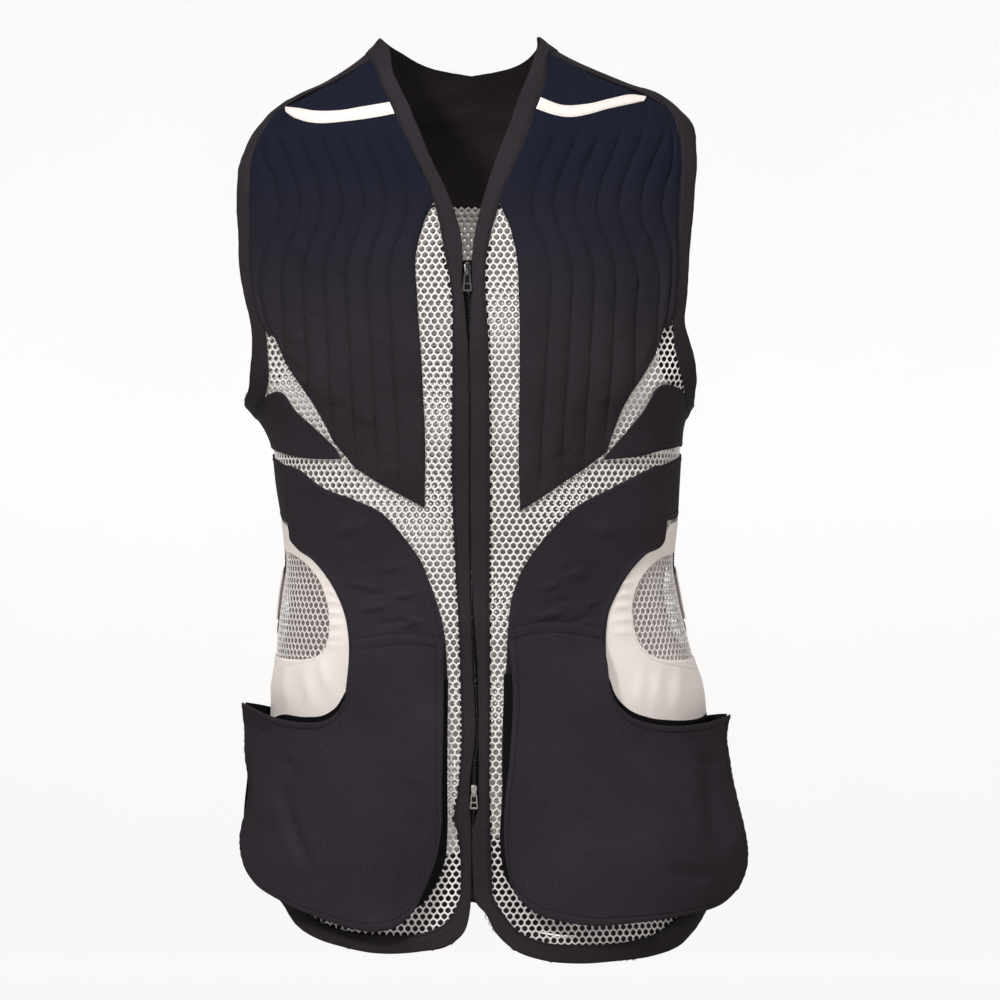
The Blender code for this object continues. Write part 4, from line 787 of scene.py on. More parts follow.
def neck_side(side):
    """The neck band's sewn edge, moved under the band, split where the shoulder seam meets it."""
    line = beside(side, line_of(side, NECK_SEWN[side]), -UNDER_BINDING["cloth"])
    corner = int(np.argmax(line[:, 0] < SHOULDER_SEAM[side]["turn"][0]))
    return line[:corner + 1], line[corner:]


def pad_columns(side):
    """The pad's sewn lines and its two edges, each from the shoulder seam to the lower edge."""
    seam, lower = SHOULDER_SEAM[side], PAD_LOWER[side]
    tip_outer = rows_of(FORM, side, lower)[-1]
    neck = neck_side(side)[1]
    neck = neck[neck[:, 1] < PAD_LEAVES_NECK]
    inner = drawn(np.concatenate([neck[::8], rows_of(FORM, side, PAD_INNER[side])]))
    arm = arm_line(side, ARM_SEWN, 0, 8, -UNDER_BINDING["cloth"])
    arm = arm[(arm[:, 0] < seam["turn"][-1]) & (arm[:, 1] < tip_outer[1] - 6)]
    outer = drawn(np.concatenate([arm[::8], tip_outer[None]]))
    middle = rows_of(FORM, side, {k: seam[k][1:-1] for k in ("turn", "down")})
    top = drawn(np.concatenate([inner[:1], middle, outer[:1]]))
    columns = [inner]
    for number in range(QUILT["lines"]):
        base = QUILT["first"] + number * QUILT["step"]
        left_over = QUILT["lines"] - number
        down = np.array(QUILT_DOWN, float)
        out = base + smooth(QUILT_LEAN["down"], QUILT_LEAN["more_out"], down)
        edge = np.interp(down, outer[:, 1], outer[:, 0])
        turn = np.minimum(seen(FORM, side, out, down), edge - QUILT_ROOM["turn"] * left_over)
        share = np.interp(out[0], seam["out"], np.linspace(0, 1, len(seam["out"])))
        start = at_shares(top, [min(share, 1 - QUILT_ROOM["share"] * left_over)])[0]
        end_down = np.interp(out[-3:].mean(), lower["out"], lower["down"])
        for _ in range(4):
            end_out = base + smooth(QUILT_LEAN["down"], QUILT_LEAN["more_out"], end_down)
            end_down = np.interp(end_out, lower["out"], lower["down"])
        end = (min(seen(FORM, side, end_out, end_down), tip_outer[0] - 1.5), float(end_down))
        keep = down < end_down - 12
        columns.append(drawn(np.concatenate([[start], np.stack([turn, down], axis=1)[keep], [end]])))
    return columns + [outer]


black_thread = Finish("black thread", (0.008, 0.008, 0.010), 0.5, Specular_IOR_Level=0.3)
black_thread.clouded(1600.0, (0.004, 0.004, 0.006), (0.014, 0.014, 0.018))

quilted = woven("quilted twill", (0.0143, 0.0120, 0.0149), (0.0350, 0.0297, 0.0353), 0.85, lint=0.5)
# The colour turns bluer and darker towards the top of the pad, by height above the floor.
blue = quilted.part(quilted.place(), 2).step(-0.21, -0.08) * 0.8
quilted.set("Base Color", quilted.mix(blue, quilted.colour, (0.0050, 0.0078, 0.0185)))

for side, sign in SIDES.items():
    rows = np.unique(np.concatenate([[0, 0.0025, 0.006], np.linspace(0.012, 0.988, 104), [0.994, 0.9975, 1]]))
    lines = [at_shares(line, rows) for line in pad_columns(side)]
    grid, puff = [], []
    for before, after in zip(lines, lines[1:]):
        grid += [(1 - s) * before + s * after for s in CHANNEL]
        puff += [1 - abs(2 * s - 1) ** 2.4 for s in CHANNEL]
    grid = np.stack([*grid, lines[-1]], axis=1)
    puff = np.array([*puff, 0.0])
    ends = np.clip(np.minimum(rows, 1 - rows) * 14, 0, 1)[:, None]
    under_stripe = np.clip((grid[..., 1] - 44) / 12, 0.15, 1)
    quiver = 0.16 * np.sin(grid[..., 1] * 1.15 + 3.1 * np.sin(np.arange(len(puff)) * 1.7)[None])
    wrinkles = creases(grid * (sign, 1), PAD_WRINKLES)
    lift = QUILT["lift"] + QUILT["rise"] * puff ** 0.8 * ends * under_stripe + (quiver + wrinkles) * ends * (puff > 0)
    pad = cloth(f"pad_{side}", grid * (sign, 1), lift, QUILT["thick"] + (lift - QUILT["lift"]) * 0.6, quilted,
                (f"chest_pad_{side}",))
    sewn = [(line[4:-3] * (sign, 1), QUILT["lift"] + 0.02) for line in lines[1:-1]]
    lower = np.stack([(1 - 0.012) * grid[-1] + 0.012 * grid[-20], grid[-1]])[0]
    stitches(f"pad_stitches_{side}", sewn + [(lower * (sign, 1), QUILT["lift"] + 0.1)], black_thread)


# ---- Shoulder stripes ----
# A narrow folded stripe of cream twill is sewn across the top of each pad along both its edges and ends in
# a point near the armhole.
STRIPE_UPPER = {
    "left": {"out": (65, 86, 104, 124, 139, 150), "down": (25.5, 29, 32, 32, 29, 27)},
    "right": {"out": (56.5, 74, 93, 113, 130, 142), "down": (21.5, 28, 27, 22, 18, 19)},
}
STRIPE_LOWER = {
    "left": {"out": (61, 82, 98, 126, 140, 149), "down": (35.5, 39, 41, 42, 38, 32)},
    "right": {"out": (53, 66, 80, 93, 113, 140), "down": (31.5, 36, 38, 36, 30, 23)},
}


def strip(inner, outer, rows, across):
    """Grid between two lines, matched by shares of their lengths."""
    u = np.asarray(across, float)[None, :, None]
    return (1 - u) * at_shares(inner, rows)[:, None] + u * at_shares(outer, rows)[:, None]


cream_thread = Finish("cream thread", (0.74, 0.68, 0.62), 0.6)
cream_thread.clouded(1600.0, (0.60, 0.54, 0.49), (0.82, 0.77, 0.72))
cream = woven("cream twill", (0.72, 0.645, 0.605), (0.85, 0.785, 0.75), 0.85, depth=0.00003)

for side, sign in SIDES.items():
    upper, lower = line_of(side, STRIPE_UPPER[side]), line_of(side, STRIPE_LOWER[side])
    grid = strip(upper, lower, np.linspace(0, 1, 40), (0, 0.05, 0.14, 0.3, 0.5, 0.7, 0.86, 0.95, 1)) * (sign, 1)
    stripe = cloth(f"stripe_{side}", grid, LIFT["stripe"], 0.8, cream,
                   (f"shoulder_stripe_{side}",), roll=0.3)
    rows = [(grid[1:-1, k], seam_lift("stripe")) for k in (2, 6)]
    stitches(f"stripe_stitches_{side}", rows, cream_thread, pitch=2.6, long=1.8)


# ---- Yoke ----
# One black twill piece covers the shoulders and the upper back, from the shoulder seams down to a straight
# hem that is sewn onto the back net.
black = woven("black twill", (0.0150, 0.0123, 0.0158), (0.0364, 0.0301, 0.0371), 0.85, lint=0.5)
YOKE_WRINKLES = {
    "x": (-120, -60, 40, 110, -20), "down": (60, 40, 44, 56, 84),
    "to_x": (-96, -40, 62, 88, 24), "to_down": (96, 92, 96, 94, 88),
    "wide": (6, 7, 7, 6, 5), "rise": (0.8, -0.8, 0.9, -0.7, 0.6),
}


def in_steps(lines, counts):
    """Points along joined lines, each line with its own number of steps."""
    return joined(*(at_shares(line, np.linspace(0, 1, count + 1)) for line, count in zip(lines, counts)))


inner, outer = [], []
for side in SIDES:
    seam = SHOULDER_SEAM[side]
    neck = neck_side(side)[0][::-1]
    arm = arm_line(side, ARM_SEWN, -3, 2, -UNDER_BINDING["cloth"])[::-1]
    arm = arm[(arm[:, 0] > seam["turn"][-1]) & (arm[:, 1] < YOKE_FOOT)]
    behind = int(np.argmax(arm[:, 0] > 100))
    inner.append(at_shares(joined(neck[:1], neck[3:]), np.linspace(0, 1, 55)))
    outer.append(in_steps([joined(arm[:1], arm[3:behind + 1]), arm[behind:], np.stack([arm[-1], (180, YOKE_FOOT)])],
                          (20, 12, 22)))
shares = np.concatenate([[0, 0.01, 0.025], np.linspace(0.06, 0.94, 22), [0.975, 0.99, 1]])
halves = [np.stack([(1 - u) * a + u * b for u in shares], axis=1) for a, b in zip(inner, outer)]
grid = np.concatenate([halves[0] * (-1, 1), (halves[1] - (360, 0))[::-1][1:]])
face = ring_point(FORM, grid[..., 0], grid[..., 1])
lift = LIFT["yoke"] + creases(grid, YOKE_WRINKLES) * np.clip(face[..., 1] / 40, 0, 1)
yoke = cloth("yoke", grid, lift, 1.0, black, ("back_yoke",))
stitches("yoke_stitches", [(grid[:, -4], lift[:, -4] + 0.05), (grid[1, 3:-3], lift[1, 3:-3] + 0.02),
                           (grid[-2, 3:-3], lift[-2, 3:-3] + 0.02)], black_thread)


# ---- Side strips ----
# Under each armhole a wedge of black twill runs from a point at the pad round to the side seam.
STRIP_UPPER = {
    "left": {"out": (107, 116, 127, 140, 149), "down": (305, 296, 285, 272, 260)},
    "right": {"out": (111, 129, 141, 148), "down": (307, 286, 270, 256)},
}
STRIP_LOWER = {
    "left": ({"out": (102, 123, 140), "down": (313.4, 313.2, 311)},
             {"turn": (76, 83, 90, 97.6), "down": (306, 304, 303.5, 303.5)}),
    "right": ({"out": (106, 124, 140, 150), "down": (314, 312.4, 310, 307)},
              {"turn": (74, 82, 90, 97.6), "down": (304, 302, 302, 303)}),
}
EDGED = (0, 0.012, 0.035, 0.07, 0.16, 0.28, 0.42, 0.58, 0.72, 0.84, 0.93, 0.965, 0.988, 1)

for side, sign in SIDES.items():
    arm = arm_line(side, ARM_SEWN, 8, ARM_SEWN_UNDER, -UNDER_BINDING["cloth"])
    free = rows_of(FORM, side, STRIP_UPPER[side])
    upper = drawn(np.concatenate([free, arm[arm[:, 1] > free[-1, 1] + 6][::12]]))
    grid = strip(upper, line_of(side, STRIP_LOWER[side]), np.linspace(0, 1, 46), EDGED) * (sign, 1)
    wedge = cloth(f"strip_{side}", grid, LIFT["strip"], 1.0, black, (f"side_strip_{side}",))
    rows = [(grid[2:-1, k], seam_lift("strip")) for k in (3, -4)]
    stitches(f"strip_stitches_{side}", rows, black_thread)


# ---- Lower fronts ----
# A black twill piece on each side sweeps from the waist to the centre strip in one curve and goes on down
# behind the pocket. Its curved edge is folded under and sewn onto the net twice.
LOWER_TOP = {
    "left": {"out": (146, 136, 116, 92, 70, 55, 39), "down": (318, 322, 337, 346, 357, 373, 395)},
    "right": {"out": (149, 133, 112, 83, 66, 52, 41), "down": (318, 326, 337, 353, 369, 386, 403)},
}
LOWER_INNER = {
    "left": {"out": (39, 29, 22, 18, 18, 19, 22), "down": (395, 421, 444, 483, 530, 585, 608)},
    "right": {"out": (41, 34, 30, 29, 27, 25.5, 27), "down": (403, 422, 452, 476, 503, 570, 600)},
}
LOWER_WRINKLES = {
    "x": (-92, -84, -66, -98, -74, -56, -90, -60, 46, 60, 88, 52, 96, 70, -108, 118, -44, 70),
    "down": (434, 446, 424, 412, 402, 438, 423, 448, 440, 428, 432, 418, 412, 445, 372, 376, 446, 404),
    "to_x": (-58, -44, -36, -74, -50, -36, -64, -36, 78, 86, 104, 74, 76, 98, -84, 96, -34, 88),
    "to_down": (427, 440, 418, 415, 396, 444, 419, 441, 434, 424, 426, 411, 404, 438, 364, 368, 430, 397),
    "wide": (2.4, 2.6, 2.3, 2.6, 3.2, 2.2, 2.2, 2.1, 2.8, 2.4, 2.6, 2.8, 3.6, 2.3, 4.5, 4.5, 2.4, 2.8),
    "rise": (2.63, -1.69, 2.46, 1.76, 2.11, 1.93, -1.3, 1.93, 2.46, -1.56, 1.93, 1.76, 1.93, -1.56, 2.28, 2.28,
             -1.3, -1.17),
}
LAP = {"over": 3.4, "rise": 1.3, "from": 372}


def patch(top, foot, inner, outer, foot_pull=1):
    """Grid between four rows of points that meet at their ends: straight shares between the inner and the
    outer row, plus the bow of the top row that fades downwards and that of the foot that fades upwards."""
    u = (lengths(top) / lengths(top)[-1])[None, :, None]
    v = (lengths(inner) / lengths(inner)[-1])[:, None, None]
    bow = [line - (1 - u[0]) * line[:1] - u[0] * line[-1:] for line in (top, foot)]
    return (1 - u) * inner[:, None] + u * outer[:, None] + (1 - v) * bow[0][None] + v ** foot_pull * bow[1][None]


def edged(count, edge=0.012):
    """Even shares with three more close to each end, where the fold and the stitches are."""
    ends = np.array((0, edge, 3 * edge))
    return np.concatenate([ends, np.linspace(6 * edge, 1 - 6 * edge, count), 1 - ends[::-1]])


for side, sign in SIDES.items():
    top, inner = line_of(side, LOWER_TOP[side]), line_of(side, LOWER_INNER[side])
    outer = beside(side, line_of(side, LOWER_OUTER[side]), LAP["over"])
    top = joined(outer[:1], top[1:])[::-1]
    foot = np.stack([inner[-1], outer[-1]])
    grid = patch(*(at_shares(line, edged(50, 0.008)) for line in (top, foot)),
                 *(at_shares(line, edged(125, 0.004)) for line in (inner, outer))) * (sign, 1)
    to_edge = (1 - edged(50, 0.008)) * lengths(top)[-1]
    below_waist = np.clip((grid[..., 1] - LAP["from"]) / 6, 0, 1)
    lap = LAP["rise"] * np.clip(1.6 - to_edge / LAP["over"] / 1.6, 0, 1) * below_waist
    lift = LIFT["lower"] + creases(grid, LOWER_WRINKLES) + lap
    lower = cloth(f"lower_{side}", grid, lift, 1.0, black, (f"lower_front_{side}",))
    stitches(f"lower_stitches_{side}", [(grid[2:, 3], lift[2:, 3] + 0.02), (grid[2, 2:-2], lift[2, 2:-2] + 0.02),
                                        (grid[:, -3], lift[:, -3] + 0.02)], black_thread)


# ---- Waist sides ----
# A black twill piece goes round each side of the waist between the branch of net and the cream panel.
WAIST_TOP = {"left": {"turn": (69.5, 84, 98, 134), "down": (318, 310, 307, 312)},
             "right": {"turn": (67.5, 84, 98, 134), "down": (318, 310, 307, 312)}}
WAIST_FOOT = {"left": {"turn": (74.3, 90, 112, 134), "down": (365, 359.5, 355.5, 353.5)},
              "right": {"turn": (73.2, 90, 112, 134), "down": (363, 359.5, 355.5, 353.5)}}

for side, sign in SIDES.items():
    grid = strip(line_of(side, WAIST_TOP[side]), line_of(side, WAIST_FOOT[side]), edged(44, 0.006), EDGED) * (sign, 1)
    waist = cloth(f"waist_{side}", grid, LIFT["waist"], 1.0, black, (f"waist_side_{side}",))
    rows = [(grid[2:-2, k], seam_lift("waist")) for k in (3, -4)]
    stitches(f"waist_stitches_{side}", rows, black_thread)


# ---- Waist linings ----
# Behind the back half of each waist side lies a lining of plain white cotton, sewn in with its edges.
WAIST_LINING = {"turn": (99, 110, 122, 133.5), "top": (316, 317, 317, 317), "foot": (355, 353, 352, 351)}
cotton = woven("white lining", (0.80, 0.78, 0.75), (0.90, 0.88, 0.86), 0.85, wale=0.0006)
for side, sign in SIDES.items():
    edges = [drawn(np.stack([WAIST_LINING["turn"], WAIST_LINING[edge]], axis=1)) for edge in ("top", "foot")]
    grid = strip(*edges, np.linspace(0, 1, 30), np.linspace(0, 1, 12)) * (sign, 1)
    lining = cloth(f"lining_waist_{side}", grid, LIFT["lining"], 0.5, cotton, roll=0.1)


# ---- Side panels ----
# Cream twill goes round each side from the waist to the hem, with an oval window cut out of it over a piece
# of net. The window's edge is folded under and sewn; the cloth is drawn up a little round it.
PANEL_TOP = {"left": {"turn": (134, 112, 90, 76), "down": (355, 357, 361, 367)},
             "right": {"turn": (134, 112, 90, 75), "down": (355, 357, 361, 366)}}
PANEL_FRONT = {
    "left": {"out": (140, 126, 117, 106, 98, 95, 95, 96, 97), "down": (383, 393, 403, 420, 440, 459, 480, 560, 598)},
    "right": {"out": (156, 140, 127, 116, 109, 107, 107, 108, 109),
              "down": (378, 389, 403, 421, 437, 450, 480, 560, 604)},
}
PANEL_FOOT = {
    "left": {"turn": (50, 57, 64, 71, 83, 98, 115, 134), "down": (628, 650, 658, 653, 641.5, 634, 638, 656)},
    "right": {"turn": (52, 60, 68, 74, 85, 98, 115, 134), "down": (635, 664, 674, 667, 652.5, 644, 646, 660)},
}
WINDOW = {
    "left": {"turn": (86, 76, 66.3, 59.6, 55.1, 53, 51.6, 50.8, 50.8, 51.9, 54.4, 59.4, 66, 76, 87, 95, 100.5, 103,
                      103.8, 103.3, 101.5, 98, 93),
             "down": (387.5, 389.5, 394.4, 403.8, 415.2, 424.6, 434.7, 446.2, 457.6, 466.4, 472, 475.2, 475.8, 475,
                      473.5, 471.5, 466, 457, 446, 433, 418, 403, 391.5)},
    "right": {"turn": (90, 79, 68.5, 63.7, 60, 57.9, 56.6, 56.1, 56.1, 56.8, 58.4, 60.9, 64.5, 70.2, 79, 89, 97, 102,
                       104.5, 105.3, 105, 103.5, 100.5, 96),
              "down": (388.5, 390.5, 395.8, 403, 412.4, 421, 430.4, 441.2, 449.8, 459.2, 467.1, 472.9, 475.8, 477.2,
                       476.5, 475.5, 472.5, 465, 454, 441, 427, 413, 400, 392)},
}
WINDOW_MIDDLE = {"left": (86, 433), "right": (91, 433)}
WINDOW_SIZE = np.array((33.0, 45.0))
PANEL_WRINKLES = {
    "x": (-120, -118, -118, -117, -117, -117, -117, -118, -120, -128, -144, -156, -118, 135, 133, 132, 131, 131, 132,
          134, 138, 150, 166, 184),
    "down": (396, 403, 412, 419, 428, 436, 446, 455, 463, 476, 480, 482, 470, 396, 405, 415, 424, 434, 444, 455, 480,
             482, 484, 480),
    "to_x": (-108, -104, -100, -99, -98, -97.5, -97.5, -98, -98, -126, -146, -160, -110, 120, 116, 113, 111, 110, 110,
             111, 138, 152, 170, 190),
    "to_down": (394, 403, 410, 420, 427, 437, 445, 456, 462, 516, 520, 516, 506, 394, 405, 414, 425, 433, 445, 454,
                514, 518, 516, 512),
    "wide": (2.0, 1.9, 2.2, 1.8, 2.1, 1.9, 2.2, 1.9, 2.2, 4, 4.5, 4, 4, 2.0, 1.9, 2.2, 1.9, 2.1, 1.9, 2.2, 4, 4.5, 4,
             4),
    "rise": (0.9, 1.08, 1.26, 1, 1.26, 1.08, 1.26, 1, 0.9, 1.8, 2.16, 1.62, 1.8, 0.9, 1.08, 1.26, 1, 1.26, 1.08,
             0.9, 1.8, 2.16, 1.8, 1.62),
}


def window_edge(side, bearing, more=(0, 0)):
    """The window's edge, or a line further out by an allowance, where a spoke of each bearing meets it."""
    table = WINDOW[side]
    x, y = ((loop(np.stack([table["turn"], table["down"]], axis=1).astype(float)) - WINDOW_MIDDLE[side])
            / WINDOW_SIZE).T
    reach = np.interp(bearing, np.arctan2(x, y), np.hypot(x, y), period=2 * np.pi)[:, None]
    return WINDOW_MIDDLE[side] + (WINDOW_SIZE + more) * reach * np.stack([np.sin(bearing), np.cos(bearing)], axis=1)


for side, sign in SIDES.items():
    top, front = line_of(side, PANEL_TOP[side]), line_of(side, PANEL_FRONT[side])
    foot = line_of(side, PANEL_FOOT[side])
    back = at_shares(joined(foot[-1:], top[:1]), np.linspace(0, 1, 60))
    corners = np.cumsum([0, len(top) - 1, 1, len(front) - 1, len(foot)])
    outline = np.concatenate([top, front, foot, back[1:]])
    bearing = np.unwrap(np.arctan2(*((outline - WINDOW_MIDDLE[side]) / WINDOW_SIZE).T))
    pace = lengths(outline) / lengths(outline)[-1] + (bearing - bearing[0]) / (bearing[-1] - bearing[0])
    even_ones = np.interp(2 * np.linspace(0, 1, 260)[1:-1], pace, bearing)
    spokes = np.sort(np.concatenate([bearing[corners], even_ones]))
    spokes = spokes[np.concatenate([[True], np.diff(spokes) > 0.006])]
    spokes = spokes[:-1] if spokes[-1] - spokes[0] > 2 * np.pi - 0.003 else spokes
    outer = np.stack([np.interp(spokes, bearing, outline[:, k]) for k in (0, 1)], axis=1)
    inner = window_edge(side, spokes)
    share = np.concatenate([[0, 0.008, 0.03, 0.06], np.linspace(0.11, 0.93, 15), [0.975, 0.99, 1]])[None, :, None]
    grid = ((1 - share) * inner[:, None] + share * outer[:, None]) * (sign, 1)
    lift = LIFT["panel"] + creases(grid, PANEL_WRINKLES) * np.clip(share[..., 0] * 20, 0, 1)
    panel = cloth(f"panel_{side}", grid, lift, 0.95, cream, (f"side_panel_{side}",), closed=True)
    rim = np.concatenate([grid[:, 3], grid[:1, 3]])
    stitches(f"panel_stitches_{side}", [(rim, 2.65)], cream_thread, pitch=2.7, long=1.9)
    edge = window_edge(side, spokes, (3.0, 5.5))
    window_net = net(f"net_window_{side}", edge * (sign, 1), 0.0, side_knit_painted_shade, (f"window_net_{side}",),
                     lean=0.06 * sign, lift=0.9)


# ---- Pockets ----
# A large bellows pocket of black twill hangs on each front: its front is sewn to the lower front along a
# curved top seam, a gusset holds its other sides off the body, and its hand opening dips at the side.
POCKET_FORM = {
    "down": (430, 458, 480, 511, 536, 560, 600, 640, 700),
    "left": (159, 162.5, 180, 195, 192, 192, 196, 197, 195),
    "right": (174.5, 182, 203, 219, 217, 221, 229, 233, 224),
    "front": (123.5, 125.5, 128, 132, 135, 138, 141, 143, 143),
    "back": (110, 110, 111, 113, 114, 116, 118, 120, 121),
    "square": (2.3, 2.3, 2.35, 2.35, 2.35, 2.4, 2.4, 2.4, 2.4),
}
POCKET_OPENING = {
    "left": {"out": (185, 180, 166, 146, 129, 116, 106, 99),
             "down": (511, 513, 519, 524, 525, 523, 516, 504)},
    "right": {"out": (211, 187, 161, 142, 126, 116, 111),
              "down": (521, 527, 528, 525, 518, 507, 493)},
}
POCKET_SEAM = {
    "left": {"out": (94, 78, 54, 35, 21), "down": (459, 456, 454, 455, 459)},
    "right": {"out": (106, 87, 68, 48, 30), "down": (450, 446, 444, 446, 452)},
}
POCKET_INNER = {
    "left": {"out": (21, 21, 22, 22.5, 27, 35), "down": (459, 524, 575, 609, 633, 655)},
    "right": {"out": (30, 34, 31, 28, 28, 32), "down": (452, 498, 559, 585, 628, 651)},
}
POCKET_FOOT = {
    "left": {"out": (35, 45, 58, 71, 96, 116, 136, 157, 171, 180),
             "down": (655, 674, 686, 690, 688, 682, 675, 666, 658, 648)},
    "right": {"out": (32, 41, 56, 78, 99, 123, 146, 178, 202, 217),
              "down": (651, 666, 677, 683, 686, 685, 683, 679, 673, 661)},
}
POCKET_OUTER = {
    "left": {"out": (185, 183, 183, 186, 187, 185, 180), "down": (511, 536, 556, 600, 621, 636, 648)},
    "right": {"out": (211, 208, 214, 220, 225, 224, 217), "down": (521, 542, 580, 606, 632, 645, 661)},
}
GUSSET = {"start": 32, "rows": 150, "across": 8}
GUSSET_SEAM = {
    "left": ({"out": (17, 17.5, 17.5, 19.5, 27.5, 40, 58, 75, 96, 116, 134),
              "down": (490, 575, 610, 634, 655, 671, 680, 682, 680, 674, 666)},
             {"turn": (68, 78, 85, 88, 89, 89), "down": (654, 642, 625, 600, 560, 517)}),
    "right": ({"out": (26.5, 26, 25, 24, 28, 38, 56, 78, 99, 123, 146),
               "down": (486, 545, 585, 626, 648, 662, 672, 677, 679, 678, 675)},
              {"turn": (66, 76, 84, 88, 89, 89), "down": (668, 655, 635, 606, 566, 524)}),
}
POCKET_WRINKLES = {
    "x": (-176, -168, -153, -160, -150, -174, -50, -92, -40, -46, -42, 196, 176, 60, 150, 50, 120, 206, 172),
    "down": (552, 552, 566, 548, 553, 514, 569, 681, 630, 500, 540, 540, 560, 520, 640, 470, 560, 640, 552),
    "to_x": (-180, -158, -119, -134, -137, -160, -35, -60, -33, -80, -78, 204, 196, 96, 200, 66, 160, 216, 205),
    "to_down": (624, 640, 653, 644, 566, 545, 586, 684, 600, 520, 548, 640, 640, 580, 648, 500, 610, 600, 560),
    "wide": (7, 6, 5, 8, 3.6, 3.2, 4, 5, 4, 9, 7, 8, 9, 12, 6, 7, 14, 6, 4),
    "rise": (-5.75, 2.53, -4.83, 2.76, -2.07, -2.07, -1.49, 1.95, 1.49, 1.15, -1.03, -3.45, 2.53, 2.07, -2.07,
             1.38, -1.84, 1.84, -1.38),
}
POCKET_HEM = {"sides": 6.4, "opening": 7.3, "foot": 5.8, "tuck": 0.22}
POCKET_BACK = {"turn": 84, "above": 3.4, "below": 11}


def hemmed(length, first, last, step, knot=None):
    """Shares of a length for a piece with a folded, sewn hem at both ends: close rows in the fold and at the
    stitches, even ones between. Also gives how far each row stands up, and the two sewn rows."""
    head, tail = ([0, 0.6, 1.8, 3.6, sewn - 1.1, sewn, sewn + 1.1, sewn + 2.6] for sewn in (first, last))
    stops = [head[-1] + step, length - tail[-1] - step]
    spans = [stops[0], *([knot] if knot else []), stops[1]]
    even = [np.linspace(a, b, max(2, round((b - a) / step)), endpoint=False) for a, b in zip(spans, spans[1:])]
    rows = np.concatenate([head, *even, stops[1:], length - np.array(tail[::-1])])
    rise = np.zeros(len(rows))
    fold = np.array((0, 0.3, 0.45, 0.5, 0.35, -0.4, 0.1, 0))
    rise[:8], rise[-8:] = fold, fold[::-1]
    return rows / length, rise, (5, len(rows) - 6)


# Painted shade: the gusset and the back of the pocket's opening take a twill much darker than the black one, for the
# deep shade in the pocket's folds.
painted_shade_twill = woven("gusset twill, painted shade", (0.0035, 0.0032, 0.0040), (0.0080, 0.0072, 0.0085), 0.9)


def pocket_outline(side):
    """The pocket front's four edges, top, foot, inner and outer side, and the length of the top's seam."""
    opening, seam, *others = (line_of(side, table[side], POCKET_FORM) for table in (
        POCKET_OPENING, POCKET_SEAM, POCKET_FOOT, POCKET_INNER, POCKET_OUTER))
    top = joined(opening, seam)[::-1]
    return top, *others, lengths(top)[len(seam) - 1]


for side, sign in SIDES.items():
    top, foot, inner, outer, seam_long = pocket_outline(side)
    across, rise_across, sewn_across = hemmed(lengths(top)[-1], POCKET_HEM["sides"], POCKET_HEM["sides"], 3.2,
                                              seam_long)
    down, rise_down, sewn_down = hemmed(lengths(inner)[-1], POCKET_HEM["opening"], POCKET_HEM["foot"], 2.6)
    grid = patch(*(at_shares(line, across) for line in (top, foot)),
                 *(at_shares(line, down) for line in (inner, outer))) * (sign, 1)
    on_body = np.clip((grid[..., 1] - 500) / 30, 0, 1)
    tucks = POCKET_HEM["tuck"] * np.sin(grid[..., 1] * 0.95 + 2 * np.sin(grid[..., 1] * 0.21))
    beside_seam = (np.arange(len(across)) < sewn_across[0] + 2) | (np.arange(len(across)) > sewn_across[1] - 2)
    lift = LIFT["pocket"] + np.maximum(rise_across[None], rise_down[:, None]) + np.minimum(rise_across, 0)[None] \
        + np.minimum(rise_down, 0)[:, None] + creases(grid, POCKET_WRINKLES, POCKET_FORM) * on_body \
        + tucks * beside_seam[None] * on_body
    pocket = cloth(f"pocket_{side}", grid, lift, 1.1, black, (f"pocket_front_{side}",),
                   form=POCKET_FORM)
    rows = [(grid[k, 2:-2], lift[k, 2:-2] + 0.1) for k in sewn_down]
    rows += [(grid[2:-2, k], lift[2:-2, k] + 0.1) for k in sewn_across]
    stitches(f"pocket_stitches_{side}", rows, black_thread, form=POCKET_FORM, pitch=2.7)

    rim = line_of(side, POCKET_OPENING[side])
    rim = rim[rim[:, 0] < POCKET_BACK["turn"]]
    rim_grid = strip(rim - (0, POCKET_BACK["above"]), rim + (0, POCKET_BACK["below"]), np.linspace(0, 1, 40),
                     (0, 0.05, 0.15, 0.4, 0.7, 1)) * (sign, 1)
    rim_piece = cloth(f"pocket_back_{side}", rim_grid, LIFT["pocket_back"], 0.9, painted_shade_twill)

    edge = joined(inner, foot, outer[::-1])
    seam = line_of(side, GUSSET_SEAM[side])
    shares = np.linspace(0, 1, GUSSET["rows"])
    start = GUSSET["start"] / lengths(edge)[-1]
    at_edge = lifted(POCKET_FORM, at_shares(edge, start + (1 - start) * shares) * (sign, 1), -1.6 + 0 * shares)
    seam = at_shares(seam, shares)
    on_net = np.clip((seam[:, 1] - 600) / 15, 0, 1) * np.clip((60 - seam[:, 0]) / 8, 0, 1)
    at_seam = lifted(FORM, seam * (sign, 1), 3.4 - 1.8 * on_net)
    across = np.linspace(0, 1, GUSSET["across"])[None, :, None]
    fold = np.sin(np.pi * across) * (1.2 + 0.8 * np.sin(shares * 40)[:, None, None])
    outside = (1 - across) * at_seam[:, None] + across * at_edge[:, None]
    ahead = np.gradient(outside, axis=0)
    inward = unit(np.stack([-ahead[..., 2], 0 * ahead[..., 0], ahead[..., 0]], axis=-1)) * sign
    points, faces = walled(outside + inward * (0.3 + fold), outside + inward * (1.1 + fold))
    flat = np.stack(np.meshgrid(np.linspace(0, 16, GUSSET["across"]), shares * 620)[::-1], axis=-1).reshape(-1, 2)
    gusset = added(f"gusset_{side}", points, faces, painted_shade_twill, (f"pocket_gusset_{side}",),
                   np.concatenate([flat, flat]), sharp=50)


